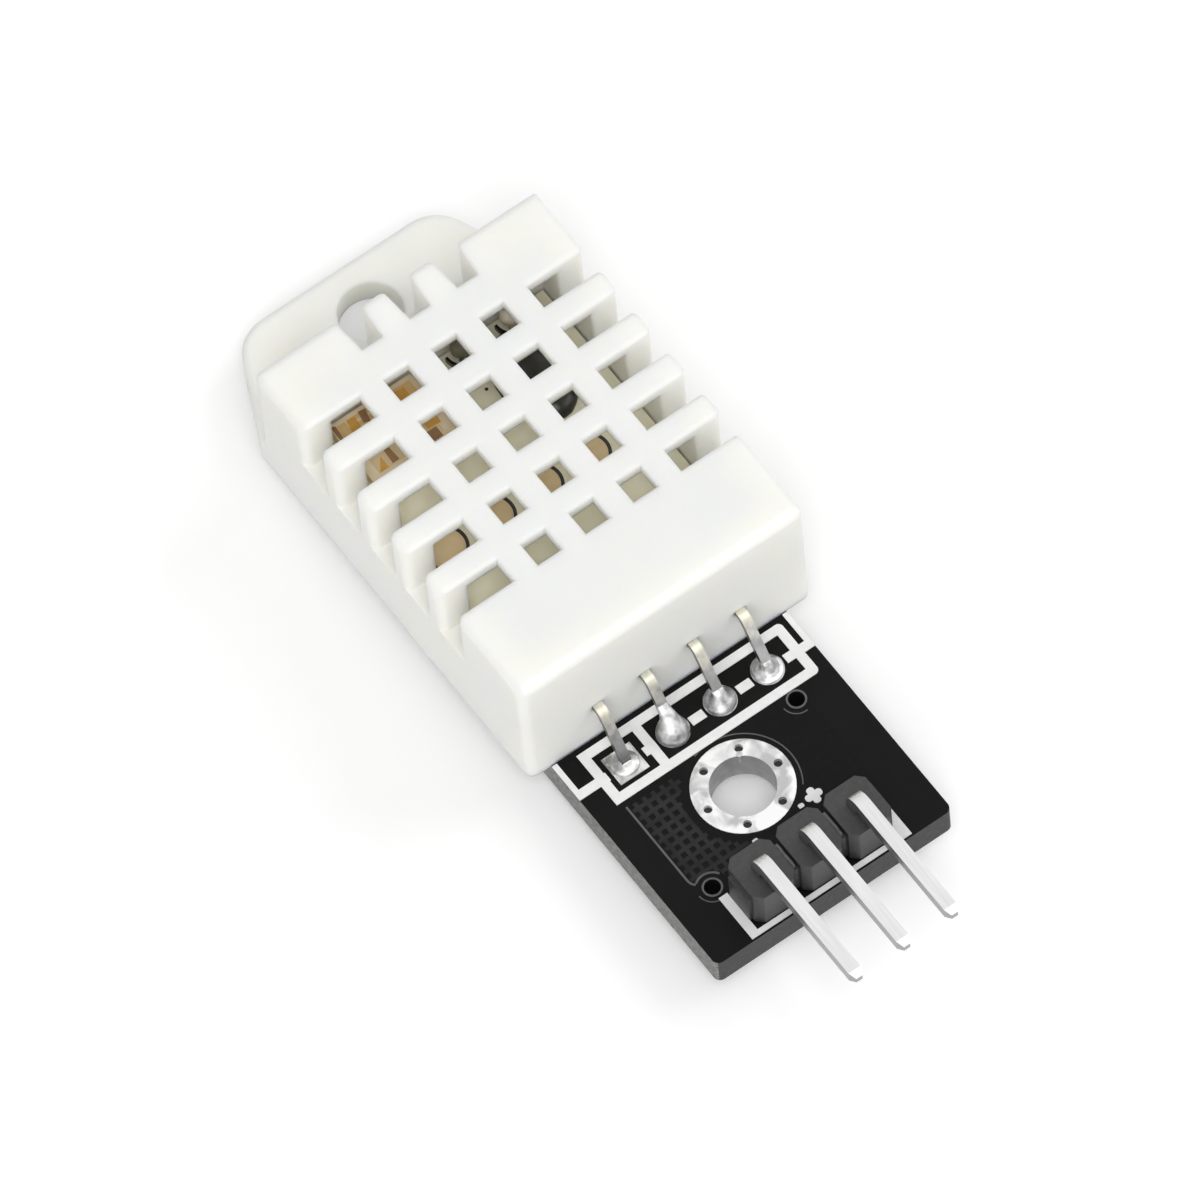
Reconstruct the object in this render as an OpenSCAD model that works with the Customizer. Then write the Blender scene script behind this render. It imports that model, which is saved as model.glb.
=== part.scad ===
// Temperature and humidity sensor module: a vented plastic sensor, laid flat on a small carrier
// board and soldered to it by four pins, with a right-angle pin header at the board's free end.
// Millimetres. +Z is up, +Y runs from the header to the sensor's mounting tab, and the origin is
// on the axis of the board's mounting hole, at the underside of the board.

/* [Carrier board] */
// Width of the carrier board
board_w = 12.6; // [11.8:0.1:15]
// Length of the carrier board
board_l = 28; // [24:0.5:29]
// Thickness of the carrier board
board_t = 1.6; // [1:0.1:2.4]
// Corner radius of the carrier board
board_corner_r = 0.35; // [0.1:0.05:0.8]
// Distance from the mounting hole's axis to the header end of the board
hole_to_end = 6.4; // [6.2:0.1:8]
// Sideways offset of the board's middle line from the mounting hole's axis
board_shift = 0.26; // [0:0.02:0.4]
// Sideways offset of the sensor's middle line from the mounting hole's axis
row_shift = 0.4; // [0.2:0.05:0.5]
// Sideways offset of the header's middle line from the mounting hole's axis
header_shift = 0.2; // [0.15:0.05:0.35]
// Thickness of the copper on the board's faces and in its plated holes
copper_t = 0.05; // [0.03:0.01:0.08]
// Thickness of the white print on the board
print_t = 0.04; // [0.03:0.01:0.06]
// Width of the broad printed lines
print_w = 0.46; // [0.3:0.02:0.5]

/* [Mounting hole and vias] */
// Diameter of the mounting hole
hole_d = 3; // [2.6:0.1:3.2]
// Diameter of the copper ring round the mounting hole
ring_d = 4.65; // [4.4:0.05:4.9]
// Diameter of the small holes that stitch the ring's two faces
stitch_d = 0.4; // [0.2:0.05:0.5]
// Diameter of the circle that the stitching holes lie on
stitch_circle_d = 3.75; // [3.7:0.05:3.9]
// Number of stitching holes
stitch_count = 6; // [4:1:8]
// Diameter of a via's hole
via_d = 0.76; // [0.4:0.02:0.8]
// Diameter of a via's copper ring
via_ring_d = 0.92; // [0.9:0.02:1.2]

/* [Sensor pins] */
// Pitch of the sensor's pins and of the header's pins
pin_pitch = 2.54; // [2.5:0.01:2.6]
// Distance from the mounting hole's axis to the sensor's solder row
sensor_row = 4; // [3.8:0.1:5]
// Side of the square first pad and diameter of the other pads
sensor_pad_d = 1.52; // [1.3:0.02:1.7]
// Diameter of the plated holes for the sensor's pins
sensor_pad_hole_d = 0.9; // [0.8:0.05:1]
// Width of a sensor pin
pin_w = 0.48; // [0.4:0.02:0.6]
// Thickness of a sensor pin
pin_t = 0.3; // [0.2:0.02:0.36]
// Radius of a sensor pin's bends, at the middle of its thickness
pin_bend_r = 0.42; // [0.3:0.02:0.5]
// Length of the trimmed sensor pins below the board
pin_tail = 1; // [0.9:0.05:1.5]

/* [Sensor housing] */
// Distance from the solder row to the housing's pin end
body_gap = 1.85; // [1.7:0.05:2.5]
// Width of the housing
body_w = 15.1; // [14.6:0.1:17]
// Length of the housing without its tab
body_l = 20; // [19.5:0.1:22]
// Thickness of the housing from its back to its grille face
body_h = 7.7; // [7.4:0.1:9]
// Radius of the housing's outer edges
edge_r = 0.45; // [0.2:0.05:0.6]
// Height of the seam between back shell and front cover
seam_h = 4.3; // [4.1:0.1:4.8]
// Thickness of the long side walls
side_wall = 1.5; // [1.2:0.05:1.8]
// Thickness of the grille wall
front_wall = 0.7; // [0.5:0.05:1]
// Thickness of the housing's back
floor_t = 1.2; // [0.8:0.1:1.6]
// Thickness of the wall at the pin end
pin_end_wall = 1.5; // [1.2:0.1:2]
// Thickness of the wall at the tab end
tab_end_wall = 2.4; // [2.3:0.1:2.8]

/* [Housing tab] */
// Length of the mounting tab beyond the housing
tab_l = 5.1; // [4.6:0.1:6]
// Thickness of the mounting tab
tab_t = 1.5; // [1:0.1:2.2]
// Width of the tab across its two rounded tip corners
tab_tip_w = 12; // [10.5:0.1:13]
// Corner radius at the tab's tip
tab_corner_r = 2; // [1.4:0.1:2.2]
// Length of the tab's straight root before its sides run in
tab_root = 0.45; // [0:0.05:1]
// Diameter of the hole in the tab
tab_hole_d = 3; // [2.4:0.1:3.4]
// Distance from the tab's tip to the middle of its hole
tab_hole_edge = 2.7; // [2.5:0.1:3]

/* [Grille] */
// Rows of openings along the housing
vent_rows = 5; // [2:1:5]
// Columns of square openings across the housing
vent_cols = 3; // [1:2:3]
// Pitch of the openings both ways
vent_pitch = 2.55; // [2.4:0.01:2.6]
// Side of a square opening and width of a side slot
vent_w = 1.3; // [0.9:0.05:1.4]
// Radius of the rounded rim of each opening
vent_rim_r = 0.15; // [0.05:0.01:0.2]
// Radius of the upright corners at the ends of the grille's bars
bar_r = 0.42; // [0.2:0.02:0.5]
// Distance from the pin end to the first row of openings
vent_start = 4.8; // [4.4:0.1:5]
// Depth of the notches in the tab end
notch_l = 1.95; // [1.2:0.05:2]
// Width of a notch at its inner end
notch_w = 1.1; // [0.8:0.05:1.3]
// Width of a notch at its mouth
notch_mouth_w = 1.45; // [1.2:0.05:1.7]

/* [Inside the housing] */
// Height of the ledge that carries the inner board
ledge_h = 2.76; // [2.2:0.02:2.8]
// Width of that ledge
ledge_w = 0.8; // [0.4:0.05:1]
// Thickness of the inner board
inner_t = 1.2; // [0.8:0.05:1.25]
// Clearance between the inner board and the housing's walls
inner_clear = 0.1; // [0.05:0.01:0.2]
// Clearance round a sensor pin in the housing's end wall
pin_clear = 0.05; // [0.02:0.01:0.1]
// Length of a sensor pin inside the housing
pin_inside = 4; // [3:0.1:6]
// Width of the humidity element across the housing
element_w = 4.4; // [3:0.1:4.4]
// Length of the humidity element along the housing
element_l = 3.5; // [2.5:0.1:4]
// Thickness of the humidity element
element_t = 0.6; // [0.3:0.05:1]
// Width of the controller's oval potting
controller_w = 3.3; // [2.4:0.1:3.4]
// Length of the controller's oval potting
controller_l = 5.1; // [3:0.1:5.4]
// Height of the controller's potting
controller_h = 0.8; // [0.4:0.05:1.2]
// Diameter of the thermistor bead and of the dipped capacitor
bead_d = 1.3; // [0.8:0.05:1.4]
// Gap between either bead and the inner board
bead_gap = 0.3; // [0.15:0.05:0.4]
// Diameter of a round test pad on the inner board
test_pad_d = 1.9; // [1.2:0.1:2.2]

/* [Pin header] */
// Number of header pins
header_count = 3; // [2:1:3]
// Distance from the mounting hole's axis to the header's pin row
header_row = 4.75; // [4.7:0.05:4.9]
// Width of one block of the header's housing
block_w = 2.25; // [1.6:0.05:2.3]
// Depth of the header's housing
block_l = 2.5; // [2:0.05:2.6]
// Height of the header's housing
block_h = 2.25; // [2:0.05:2.8]
// Chamfer on the upright corners of each block
block_chamfer = 0.35; // [0.1:0.05:0.6]
// Depth of the bridges between the blocks
bridge_l = 1.5; // [1:0.05:1.7]
// Height of the bridges between the blocks
bridge_h = 1.8; // [1.2:0.05:1.8]
// Side of a square header pin
header_pin = 0.64; // [0.5:0.02:0.66]
// Gap between the blocks and the level run of the pins
header_rise = 0.5; // [0.1:0.05:0.6]
// Inner radius of the bend in a header pin
header_bend_r = 0.25; // [0.1:0.05:0.4]
// Reach of the header pins beyond the header's housing
header_reach = 6; // [3:0.1:10]
// Length of the header pins below the board
header_tail = 1.2; // [1:0.05:2]
// Diameter of a header pad
header_pad_d = 1.7; // [1.4:0.05:1.9]
// Diameter of the plated holes for the header's pins
header_pad_hole_d = 1; // [0.95:0.01:1.1]

/* [Chips under the board] */
// Length of a chip resistor or capacitor
chip_l = 1.6; // [1:0.1:2]
// Width of a chip resistor or capacitor
chip_w = 0.8; // [0.5:0.05:1.2]
// Thickness of the resistor
resistor_t = 0.45; // [0.3:0.05:0.6]
// Thickness of the capacitor
capacitor_t = 0.6; // [0.4:0.05:0.8]
// Distance between the two chips' middle lines
chip_gap = 3; // [2:0.1:5]

/* [Hidden] */
$fn = 48;
sensor_count = 4;
cut = 0.5; // how far a cutting shape runs past the face it cuts

// Places of the two rows and the housing
body_y = sensor_row + body_gap;
body_end = body_y + body_l;
tab_tip = body_end + tab_l;
inner_x = body_w / 2 - side_wall;
cavity_y = body_y + pin_end_wall;
cavity_end = body_end - tab_end_wall;
inner_top = board_t + ledge_h + inner_t;
inner_half = inner_x - inner_clear;
inner_front = cavity_y + inner_clear;
inner_back = cavity_end - inner_clear;
via_places = [[-3.95, -3.2], [4.35, 2.05]];

// Colours
c_board = "#202020";
c_copper = "#D8D8D4";
c_white = "#F2F3EE";
c_steel = "#C9C8C0";

function centred(i, count, pitch) = (i - (count - 1) / 2) * pitch;
function sensor_x(i) = row_shift + centred(i, sensor_count, pin_pitch);
function header_x(i) = header_shift + centred(i, header_count, pin_pitch);
function row_y(i) = body_y + vent_start + vent_w / 2 + i * vent_pitch;

// Rectangle with four rounded corners, centred
module soft_rect(w, l, r) {
    square([w - 2 * r, l], center = true);
    square([w, l - 2 * r], center = true);
    for (x = [-1, 1], y = [-1, 1])
        translate([x * (w / 2 - r), y * (l / 2 - r)]) circle(r);
}

// Upright profile, w wide and h high, with its two top corners rounded
module arch_profile(w, h, r) {
    translate([-w / 2, 0]) square([w, h - r]);
    translate([-w / 2 + r, 0]) square([w - 2 * r, h]);
    for (x = [-1, 1]) translate([x * (w / 2 - r), h - r]) circle(r);
}

// Block on the origin's plane with rounded upright corners and rounded top edges
module soft_block(w, l, h, r) {
    intersection() {
        linear_extrude(h) soft_rect(w, l, r);
        rotate([90, 0, 0]) linear_extrude(l + 2 * cut, center = true) arch_profile(w, h, r);
        rotate([90, 0, 90]) linear_extrude(w + 2 * cut, center = true) arch_profile(l, h, r);
    }
}

// Profile of an opening through a wall whose face is at height 0: straight below, flared at the rim
module rim_profile(w, depth, r) {
    translate([-w / 2, -depth]) square([w, depth + cut]);
    difference() {
        translate([-w / 2 - r, -r]) square([w + 2 * r, r + cut]);
        for (x = [-1, 1]) translate([x * (w / 2 + r), -r]) circle(r);
    }
}

// Opening w by l with a rounded rim, cut down from height 0
module vent(w, l, depth) {
    intersection() {
        rotate([90, 0, 0]) linear_extrude(l + 2 * cut, center = true) rim_profile(w, depth, vent_rim_r);
        rotate([90, 0, 90]) linear_extrude(w + 2 * cut, center = true) rim_profile(l, depth, vent_rim_r);
    }
}

// Plated hole: a sleeve through the board with a flat pad on each face
module plated_hole(hole, pad, square_pad = false) {
    difference() {
        union() {
            translate([0, 0, -copper_t]) cylinder(d = hole + 2 * copper_t, h = board_t + 2 * copper_t);
            for (z = [-copper_t, board_t]) translate([0, 0, z])
                if (square_pad) linear_extrude(copper_t) square(pad, center = true);
                else cylinder(d = pad, h = copper_t);
        }
        translate([0, 0, -cut]) cylinder(d = hole, h = board_t + 2 * cut);
    }
}

// Points of an arc round a centre, from one angle to another
arc_steps = 8;
function arc(centre, r, from, to) = [for (i = [0 : arc_steps])
    let (a = from + (to - from) * i / arc_steps) centre + r * [cos(a), sin(a)]];

// Cuts that the plated holes need in the board
module sleeve_cuts(hole) {
    translate([0, 0, -cut]) cylinder(d = hole + 2 * copper_t, h = board_t + 2 * cut);
}

// Bores of the given diameter through the board at the stitching holes' places
module stitch_bores(d) {
    for (i = [0 : stitch_count - 1]) rotate(i * 360 / stitch_count)
        translate([stitch_circle_d / 2, 0, -cut]) cylinder(d = d, h = board_t + 2 * cut);
}

module carrier_board() {
    color(c_board) difference() {
        translate([board_shift, board_l / 2 - hole_to_end, 0])
            linear_extrude(board_t) soft_rect(board_w, board_l, board_corner_r);
        translate([0, 0, -cut]) cylinder(d = hole_d, h = board_t + 2 * cut);
        stitch_bores(stitch_d + 2 * copper_t);
        for (p = via_places) translate(p) sleeve_cuts(via_d);
        for (i = [0 : sensor_count - 1])
            translate([sensor_x(i), sensor_row]) sleeve_cuts(sensor_pad_hole_d);
        for (i = [0 : header_count - 1])
            translate([header_x(i), -header_row]) sleeve_cuts(header_pad_hole_d);
    }
}

// A flat ring on each face of the board, joined by the plated stitching holes
module mounting_ring() {
    color(c_copper) difference() {
        union() {
            for (z = [-copper_t, board_t]) translate([0, 0, z]) cylinder(d = ring_d, h = copper_t);
            for (i = [0 : stitch_count - 1]) rotate(i * 360 / stitch_count)
                translate([stitch_circle_d / 2, 0, -copper_t])
                    cylinder(d = stitch_d + 2 * copper_t, h = board_t + 2 * copper_t);
        }
        translate([0, 0, -cut]) cylinder(d = hole_d, h = board_t + 2 * cut);
        stitch_bores(stitch_d);
    }
}

module via_eyelets() {
    color(c_copper) for (p = via_places) translate(p) plated_hole(via_d, via_ring_d);
}

module sensor_pads() {
    color(c_copper) for (i = [0 : sensor_count - 1])
        translate([sensor_x(i), sensor_row]) plated_hole(sensor_pad_hole_d, sensor_pad_d, i == 0);
}

module header_pads() {
    color(c_copper) for (i = [0 : header_count - 1])
        translate([header_x(i), -header_row]) plated_hole(header_pad_hole_d, header_pad_d, i == 0);
}

// White print: the frame round the sensor's pads, the base line of the sensor with its two end
// lines, the outline of the header and the plus sign of the supply pin
frame_left = 5.3;   // frame's outer edges, measured from the middle of the sensor's solder row
frame_right = 5.6;
frame_back = 1.57;
frame_front = 1.45;
frame_corner_r = 0.25;
divider_x = -2.41;  // line between the first pad and the others
print_gap = 0.13;   // print kept clear of a pad
thin_line = 0.26;   // width of the narrow printed lines
plus_place = [1.98, -2.21]; // from the header's middle line and the mounting hole's axis
plus_size = 0.84;
mark_places = [[1.24, -2.3], [-1.34, -2.5]]; // two dots of print beside the header
mark_size = 0.27;

module print_frame_outline(inset) {
    w = frame_left + frame_right - 2 * inset;
    l = frame_back + frame_front - 2 * inset;
    r = max(frame_corner_r - inset, 0.02);
    translate([(frame_right - frame_left) / 2, (frame_back - frame_front) / 2]) {
        soft_rect(w, l, r);
        translate([-w / 2, -l / 2]) square([w / 2, l]);
    }
}

module sensor_print() {
    left_edge = board_shift - board_w / 2 - row_shift;
    right_edge = board_shift + board_w / 2 - row_shift;
    end_line = body_gap - pin_clear;
    difference() {
        print_frame_outline(0);
        print_frame_outline(print_w);
    }
    translate([divider_x - print_w / 2, -frame_front + cut / 2]) square([print_w, frame_front + frame_back - cut]);
    // base line of the sensor, broken at each pad
    difference() {
        translate([left_edge, -print_w / 2 - 0.06]) square([right_edge - left_edge, print_w]);
        for (i = [0 : sensor_count - 1]) translate([centred(i, sensor_count, pin_pitch), 0])
            square([sensor_pad_d + 2 * print_gap + (i == 0 ? 0.16 : 0.02), 2], center = true);
    }
    for (x = [left_edge, right_edge - thin_line])
        translate([x, -print_w / 2 - 0.06]) square([thin_line, end_line + print_w / 2 + 0.06]);
}

module header_print() {
    half = header_count * pin_pitch / 2 + 0.45;
    front = -block_l / 2 - 0.3;
    via_y = via_places[0][1] + header_row;
    side_l = min(block_l, via_y - via_ring_d / 2 - print_gap - front);
    for (x = [-half, half - print_w]) translate([x, front]) square([print_w, side_l]);
    translate([-half, front]) square([2 * half, thin_line]);
}

module board_print() {
    color("#E2E2E2") translate([0, 0, board_t]) linear_extrude(print_t) difference() {
        union() {
            translate([row_shift, sensor_row]) sensor_print();
            translate([header_shift, -header_row]) header_print();
            translate([header_shift, 0] + plus_place) {
                soft_rect(plus_size, plus_size * 0.42, 0.15);
                soft_rect(plus_size * 0.42, plus_size, 0.15);
            }
            for (p = mark_places) translate([header_shift, 0] + p)
                soft_rect(mark_size, mark_size * 0.8, mark_size / 4);
        }
        for (p = via_places) translate(p) circle(via_ring_d / 2 + 0.03);
    }
}

// One bent sensor pin: level run under the inner board, out through the end wall, round a bend, down
// a sloping leg, round a second bend and straight through the pad
pin_z = board_t + ledge_h - pin_t / 2;
pin_stub = 0.34;    // from the housing to where the level run and the sloping leg would meet
knee_h = 0.5;       // height above the board at which the leg and the straight tail would meet

module pin_profile() {
    slope = atan2(pin_z - board_t - knee_h, body_gap - pin_stub);
    shoulder = [body_y - pin_stub + pin_bend_r * tan(slope / 2), pin_z - pin_bend_r];
    knee = [sensor_row + pin_bend_r, board_t + knee_h - pin_bend_r * tan((90 - slope) / 2)];
    outer = pin_bend_r + pin_t / 2;
    inner = pin_bend_r - pin_t / 2;
    polygon(concat(
        [[body_y + pin_inside, pin_z + pin_t / 2]],
        arc(shoulder, outer, 90, 90 + slope), arc(knee, outer, 90 + slope, 180),
        [[sensor_row - pin_t / 2, -pin_tail], [sensor_row + pin_t / 2, -pin_tail]],
        arc(knee, inner, 180, 90 + slope), arc(shoulder, inner, 90 + slope, 90),
        [[body_y + pin_inside, pin_z - pin_t / 2]]
    ));
}

module sensor_pin(i) {
    color(c_steel) translate([sensor_x(i), 0, 0])
        rotate([90, 0, 90]) linear_extrude(pin_w, center = true) pin_profile();
}

// Heights of the four hand-made solder joints above the sensor's pads
solder_tops = [0.3, 0.9, 0.65, 0.4];

// Solder of a through-hole joint: a cone on each face and the filled sleeve between them
module solder_shape(pad, hole, top_h, bottom_h) {
    lip = pad / 2 - 0.06;
    neck = 0.36;
    rotate_extrude() polygon([
        [0, -copper_t - bottom_h], [neck, -copper_t - bottom_h], [0.48, -copper_t - bottom_h * 0.5],
        [lip, -copper_t], [hole / 2, -copper_t], [hole / 2, board_t + copper_t],
        [lip, board_t + copper_t], [0.52, board_t + copper_t + top_h * 0.45],
        [neck, board_t + copper_t + top_h], [0, board_t + copper_t + top_h]
    ]);
}

module sensor_solder(i) {
    color(c_copper) difference() {
        translate([sensor_x(i), sensor_row, 0])
            solder_shape(sensor_pad_d, sensor_pad_hole_d, solder_tops[i], pin_tail - 0.35);
        sensor_pin(i);
    }
}

// Back shell: a tray with a ledge for the inner board, channels for the pins and the mounting tab
module tab_puck(r) {
    round_r = min(0.3, tab_t / 3);
    for (a = [0, 45, 90])
        cylinder(r = r - round_r + round_r * cos(a), h = tab_t - round_r + round_r * sin(a), $fn = 32);
}

module tab() {
    hull() {
        for (side = [-1, 1]) {
            translate([side * (tab_tip_w / 2 - tab_corner_r), tab_tip - tab_corner_r, 0]) tab_puck(tab_corner_r);
            translate([side * (body_w / 2 - edge_r), body_end + tab_root - edge_r, 0]) tab_puck(edge_r);
            translate([side * (body_w / 2 - edge_r), body_end - tab_end_wall / 2, 0]) tab_puck(edge_r);
        }
    }
}

module back_shell() {
    cavity_l = cavity_end - cavity_y;
    color(c_white) translate([row_shift, 0, board_t]) difference() {
        union() {
            translate([0, body_y + body_l / 2, 0]) linear_extrude(seam_h) soft_rect(body_w, body_l, edge_r);
            tab();
        }
        translate([-inner_x, cavity_y, ledge_h]) cube([2 * inner_x, cavity_l, seam_h]);
        translate([-inner_x + ledge_w, cavity_y + ledge_w, floor_t])
            cube([2 * (inner_x - ledge_w), cavity_l - 2 * ledge_w, seam_h]);
        for (i = [0 : sensor_count - 1])
            translate([centred(i, sensor_count, pin_pitch) - pin_w / 2 - pin_clear,
                       body_y - cut, ledge_h - pin_t - pin_clear])
                cube([pin_w + 2 * pin_clear, cut + pin_inside + pin_clear, pin_t + pin_clear]);
        translate([0, tab_tip - tab_hole_edge, -cut]) cylinder(d = tab_hole_d, h = tab_t + 2 * cut);
    }
}

// Front cover: the grille wall, comb-like side walls and the notched tab end
module side_slot(side) {
    inner = vent_pitch * (vent_cols + 1) / 2 - vent_w / 2;
    reach = body_w / 2 - inner + cut;
    translate([side * (inner + reach / 2), 0, 0]) vent(reach, vent_w, body_h);
    // room for the rounded corners of the two bars beside the slot
    translate([0, 0, -body_h]) linear_extrude(body_h + cut) difference() {
        translate([side * (body_w + cut - bar_r) / 2, 0])
            square([bar_r + cut, vent_w + 2 * bar_r], center = true);
        for (y = [-1, 1]) translate([side * (body_w / 2 - bar_r), y * (vent_w / 2 + bar_r)]) circle(bar_r);
    }
}

module notch_plan() {
    lean = atan2((notch_mouth_w - notch_w) / 2, notch_l);
    mid_y = notch_l - bar_r;
    mid_x = notch_w / 2 + (bar_r + mid_y * sin(lean)) / cos(lean);
    right = concat([[notch_w / 2, 0]], arc([mid_x, mid_y], bar_r, 180 - lean, 90), [[mid_x, notch_l + cut]]);
    last = len(right) - 1;
    polygon(concat(right, [for (i = [0 : last]) [-right[last - i][0], right[last - i][1]]]));
}

// A tongue of the cover holds the inner board down on its ledge
tongue_w = 7;
tongue_t = 0.7;

module tongue() {
    translate([-tongue_w / 2, inner_front, ledge_h + inner_t])
        cube([tongue_w, tongue_t, body_h - front_wall - ledge_h - inner_t]);
}

module front_cover() {
    color(c_white) translate([row_shift, 0, board_t]) {
        difference() {
            translate([0, body_y + body_l / 2, 0]) soft_block(body_w, body_l, body_h, edge_r);
            translate([-body_w, body_y - body_l, -body_h]) cube([2 * body_w, 3 * body_l, body_h + seam_h]);
            translate([-inner_x, cavity_y, 0]) cube([2 * inner_x, cavity_end - cavity_y, body_h - front_wall]);
            for (i = [0 : vent_rows - 1]) translate([0, row_y(i), body_h]) {
                for (j = [0 : vent_cols - 1])
                    translate([centred(j, vent_cols, vent_pitch), 0, 0]) vent(vent_w, vent_w, 2 * front_wall);
                for (side = [-1, 1]) side_slot(side);
            }
            for (j = [0 : vent_cols - 1]) translate([centred(j, vent_cols, vent_pitch), body_end - notch_l, 0])
                linear_extrude(body_h + cut) notch_plan();
        }
        tongue();
    }
}

module inner_board() {
    color("#9B9A8A") translate([row_shift - inner_half, inner_front, board_t + ledge_h])
        cube([2 * inner_half, inner_back - inner_front, inner_t]);
}

// Round test pads of the inner board, in a row from its left edge
test_pad_edge = 0.05;  // from the first pad to the board's left edge
test_pad_back = 7.8;   // from the pads' middle to the board's back edge

module inner_pads() {
    color("#B79E76") for (i = [0 : 3])
        translate([row_shift - inner_half + test_pad_edge + test_pad_d / 2 + i * pin_pitch,
                   inner_back - test_pad_back, inner_top])
            cylinder(d = test_pad_d, h = copper_t);
}

// Humidity element: a ceramic plate with two interlaced gold electrodes and a brown film at its front
element_edge = 0.3;    // from the plate to the inner board's left edge
element_back = 0.15;   // from the plate to the inner board's back edge
comb_t = 0.04;
comb_line = 0.2;
comb_bus = 0.45;       // width of the two electrodes' collecting bars
comb_margin = 0.25;    // bare edge of the plate round the electrodes
comb_fingers = 6;
film_l = 0.9;          // length of the brown film along the housing
film_gap = 0.1;

module at_element() {
    translate([row_shift - inner_half + element_edge + element_w / 2,
               inner_back - element_back - element_l / 2, inner_top])
        children();
}

module humidity_element() {
    color("#E9DFC6") at_element() linear_extrude(element_t) soft_rect(element_w, element_l, 0.15);
}

module humidity_comb() {
    span_w = element_w - 2 * comb_margin;
    span_l = element_l - 2 * comb_margin - film_l - film_gap;
    finger_l = span_w - 2 * comb_bus - comb_line;
    step = (span_l - comb_line) / (comb_fingers - 1);
    color("#C08A35") at_element() translate([0, element_l / 2 - comb_margin - span_l / 2, element_t])
        linear_extrude(comb_t) {
            for (side = [-1, 1]) translate([side * (span_w - comb_bus) / 2, 0])
                square([comb_bus, span_l], center = true);
            for (i = [0 : comb_fingers - 1])
                translate([(i % 2 == 0 ? -1 : 1) * comb_line / 2, -span_l / 2 + comb_line / 2 + i * step])
                    square([finger_l + 0.02, comb_line], center = true);
        }
}

module humidity_film() {
    color("#6E5334") at_element() translate([0, comb_margin + film_l / 2 - element_l / 2, element_t])
        linear_extrude(comb_t) square([element_w - 2 * comb_margin - comb_bus, film_l], center = true);
}

// Controller under its oval potting
controller_edge = 1.25; // from the potting to the inner board's right edge
controller_back = 3.25; // from the potting's middle to the inner board's back edge

module controller() {
    half = controller_w / 2;
    ball = (half * half + controller_h * controller_h) / (2 * controller_h);
    color("#1C1C1C") translate([row_shift + inner_half - controller_edge - half,
                                inner_back - controller_back, inner_top])
        scale([1, controller_l / controller_w, 1]) intersection() {
            translate([0, 0, controller_h - ball]) sphere(ball, $fn = 36);
            cylinder(d = controller_w + 1, h = controller_h + 1);
        }
}

// A dipped bead on its two leads; the thermistor stands halfway between capacitor and element
bead_lead_d = 0.25;
capacitor_edge = 1.9;    // from the inner board's right edge

module bead() {
    translate([0, inner_back - bead_d / 2 - 0.05, inner_top]) {
        translate([0, 0, bead_gap + bead_d / 2]) sphere(d = bead_d);
        for (x = [-1, 1]) translate([x * bead_d / 4, 0, 0])
            cylinder(d = bead_lead_d, h = bead_gap + bead_d / 2);
    }
}

module thermistor() {
    color("#2A2723") translate([row_shift + (element_edge + element_w - capacitor_edge) / 2, 0, 0]) bead();
}

module inner_capacitor() {
    color("#2A2723") translate([row_shift + inner_half - capacitor_edge, 0, 0]) bead();
}

// Header housing: chamfered blocks joined by lower bridges, each with a square hole for its pin
module header_housing() {
    span = header_count * pin_pitch;
    c = block_chamfer;
    color("#242424") translate([header_shift, -header_row, board_t + copper_t]) difference() {
        union() {
            for (i = [0 : header_count - 1]) translate([centred(i, header_count, pin_pitch), 0, 0])
                linear_extrude(block_h - copper_t) polygon([
                    [-block_w / 2 + c, -block_l / 2], [block_w / 2 - c, -block_l / 2],
                    [block_w / 2, -block_l / 2 + c], [block_w / 2, block_l / 2 - c],
                    [block_w / 2 - c, block_l / 2], [-block_w / 2 + c, block_l / 2],
                    [-block_w / 2, block_l / 2 - c], [-block_w / 2, -block_l / 2 + c]
                ]);
            translate([-span / 2, -bridge_l / 2, 0]) cube([span, bridge_l, bridge_h - copper_t]);
        }
        for (i = [0 : header_count - 1]) translate([centred(i, header_count, pin_pitch), 0, 0])
            cube([header_pin, header_pin, 4 * block_h], center = true);
    }
}

// Header pin: up through the board and the housing, round the bend and level past the board
run_top = board_t + block_h + header_rise + header_pin;
pin_tip = -header_row - block_l / 2 - header_reach;
tip_taper = 0.35;
tip_inset = 0.16;

module header_pin_profile() {
    outer_r = header_bend_r + header_pin;
    back = -header_row + header_pin / 2;
    translate([back - header_pin, -header_tail]) square([header_pin, header_tail + run_top - outer_r]);
    translate([back - outer_r, run_top - outer_r]) intersection() {
        difference() {
            circle(outer_r);
            circle(header_bend_r);
        }
        square(2 * outer_r);
    }
    polygon([
        [back - outer_r, run_top - header_pin], [back - outer_r, run_top], [pin_tip + tip_taper, run_top],
        [pin_tip, run_top - tip_inset], [pin_tip, run_top - header_pin + tip_inset],
        [pin_tip + tip_taper, run_top - header_pin]
    ]);
}

module header_pin(i) {
    long = -pin_tip - header_row;
    color(c_steel) translate([header_x(i), 0, 0]) intersection() {
        rotate([90, 0, 90]) linear_extrude(header_pin, center = true) header_pin_profile();
        translate([0, 0, -header_tail - cut]) linear_extrude(header_tail + run_top + 2 * cut) polygon([
            [-header_pin / 2, 0], [-header_pin / 2, pin_tip + tip_taper],
            [-header_pin / 2 + tip_inset, pin_tip], [header_pin / 2 - tip_inset, pin_tip],
            [header_pin / 2, pin_tip + tip_taper], [header_pin / 2, 0]
        ]);
    }
}

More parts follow.
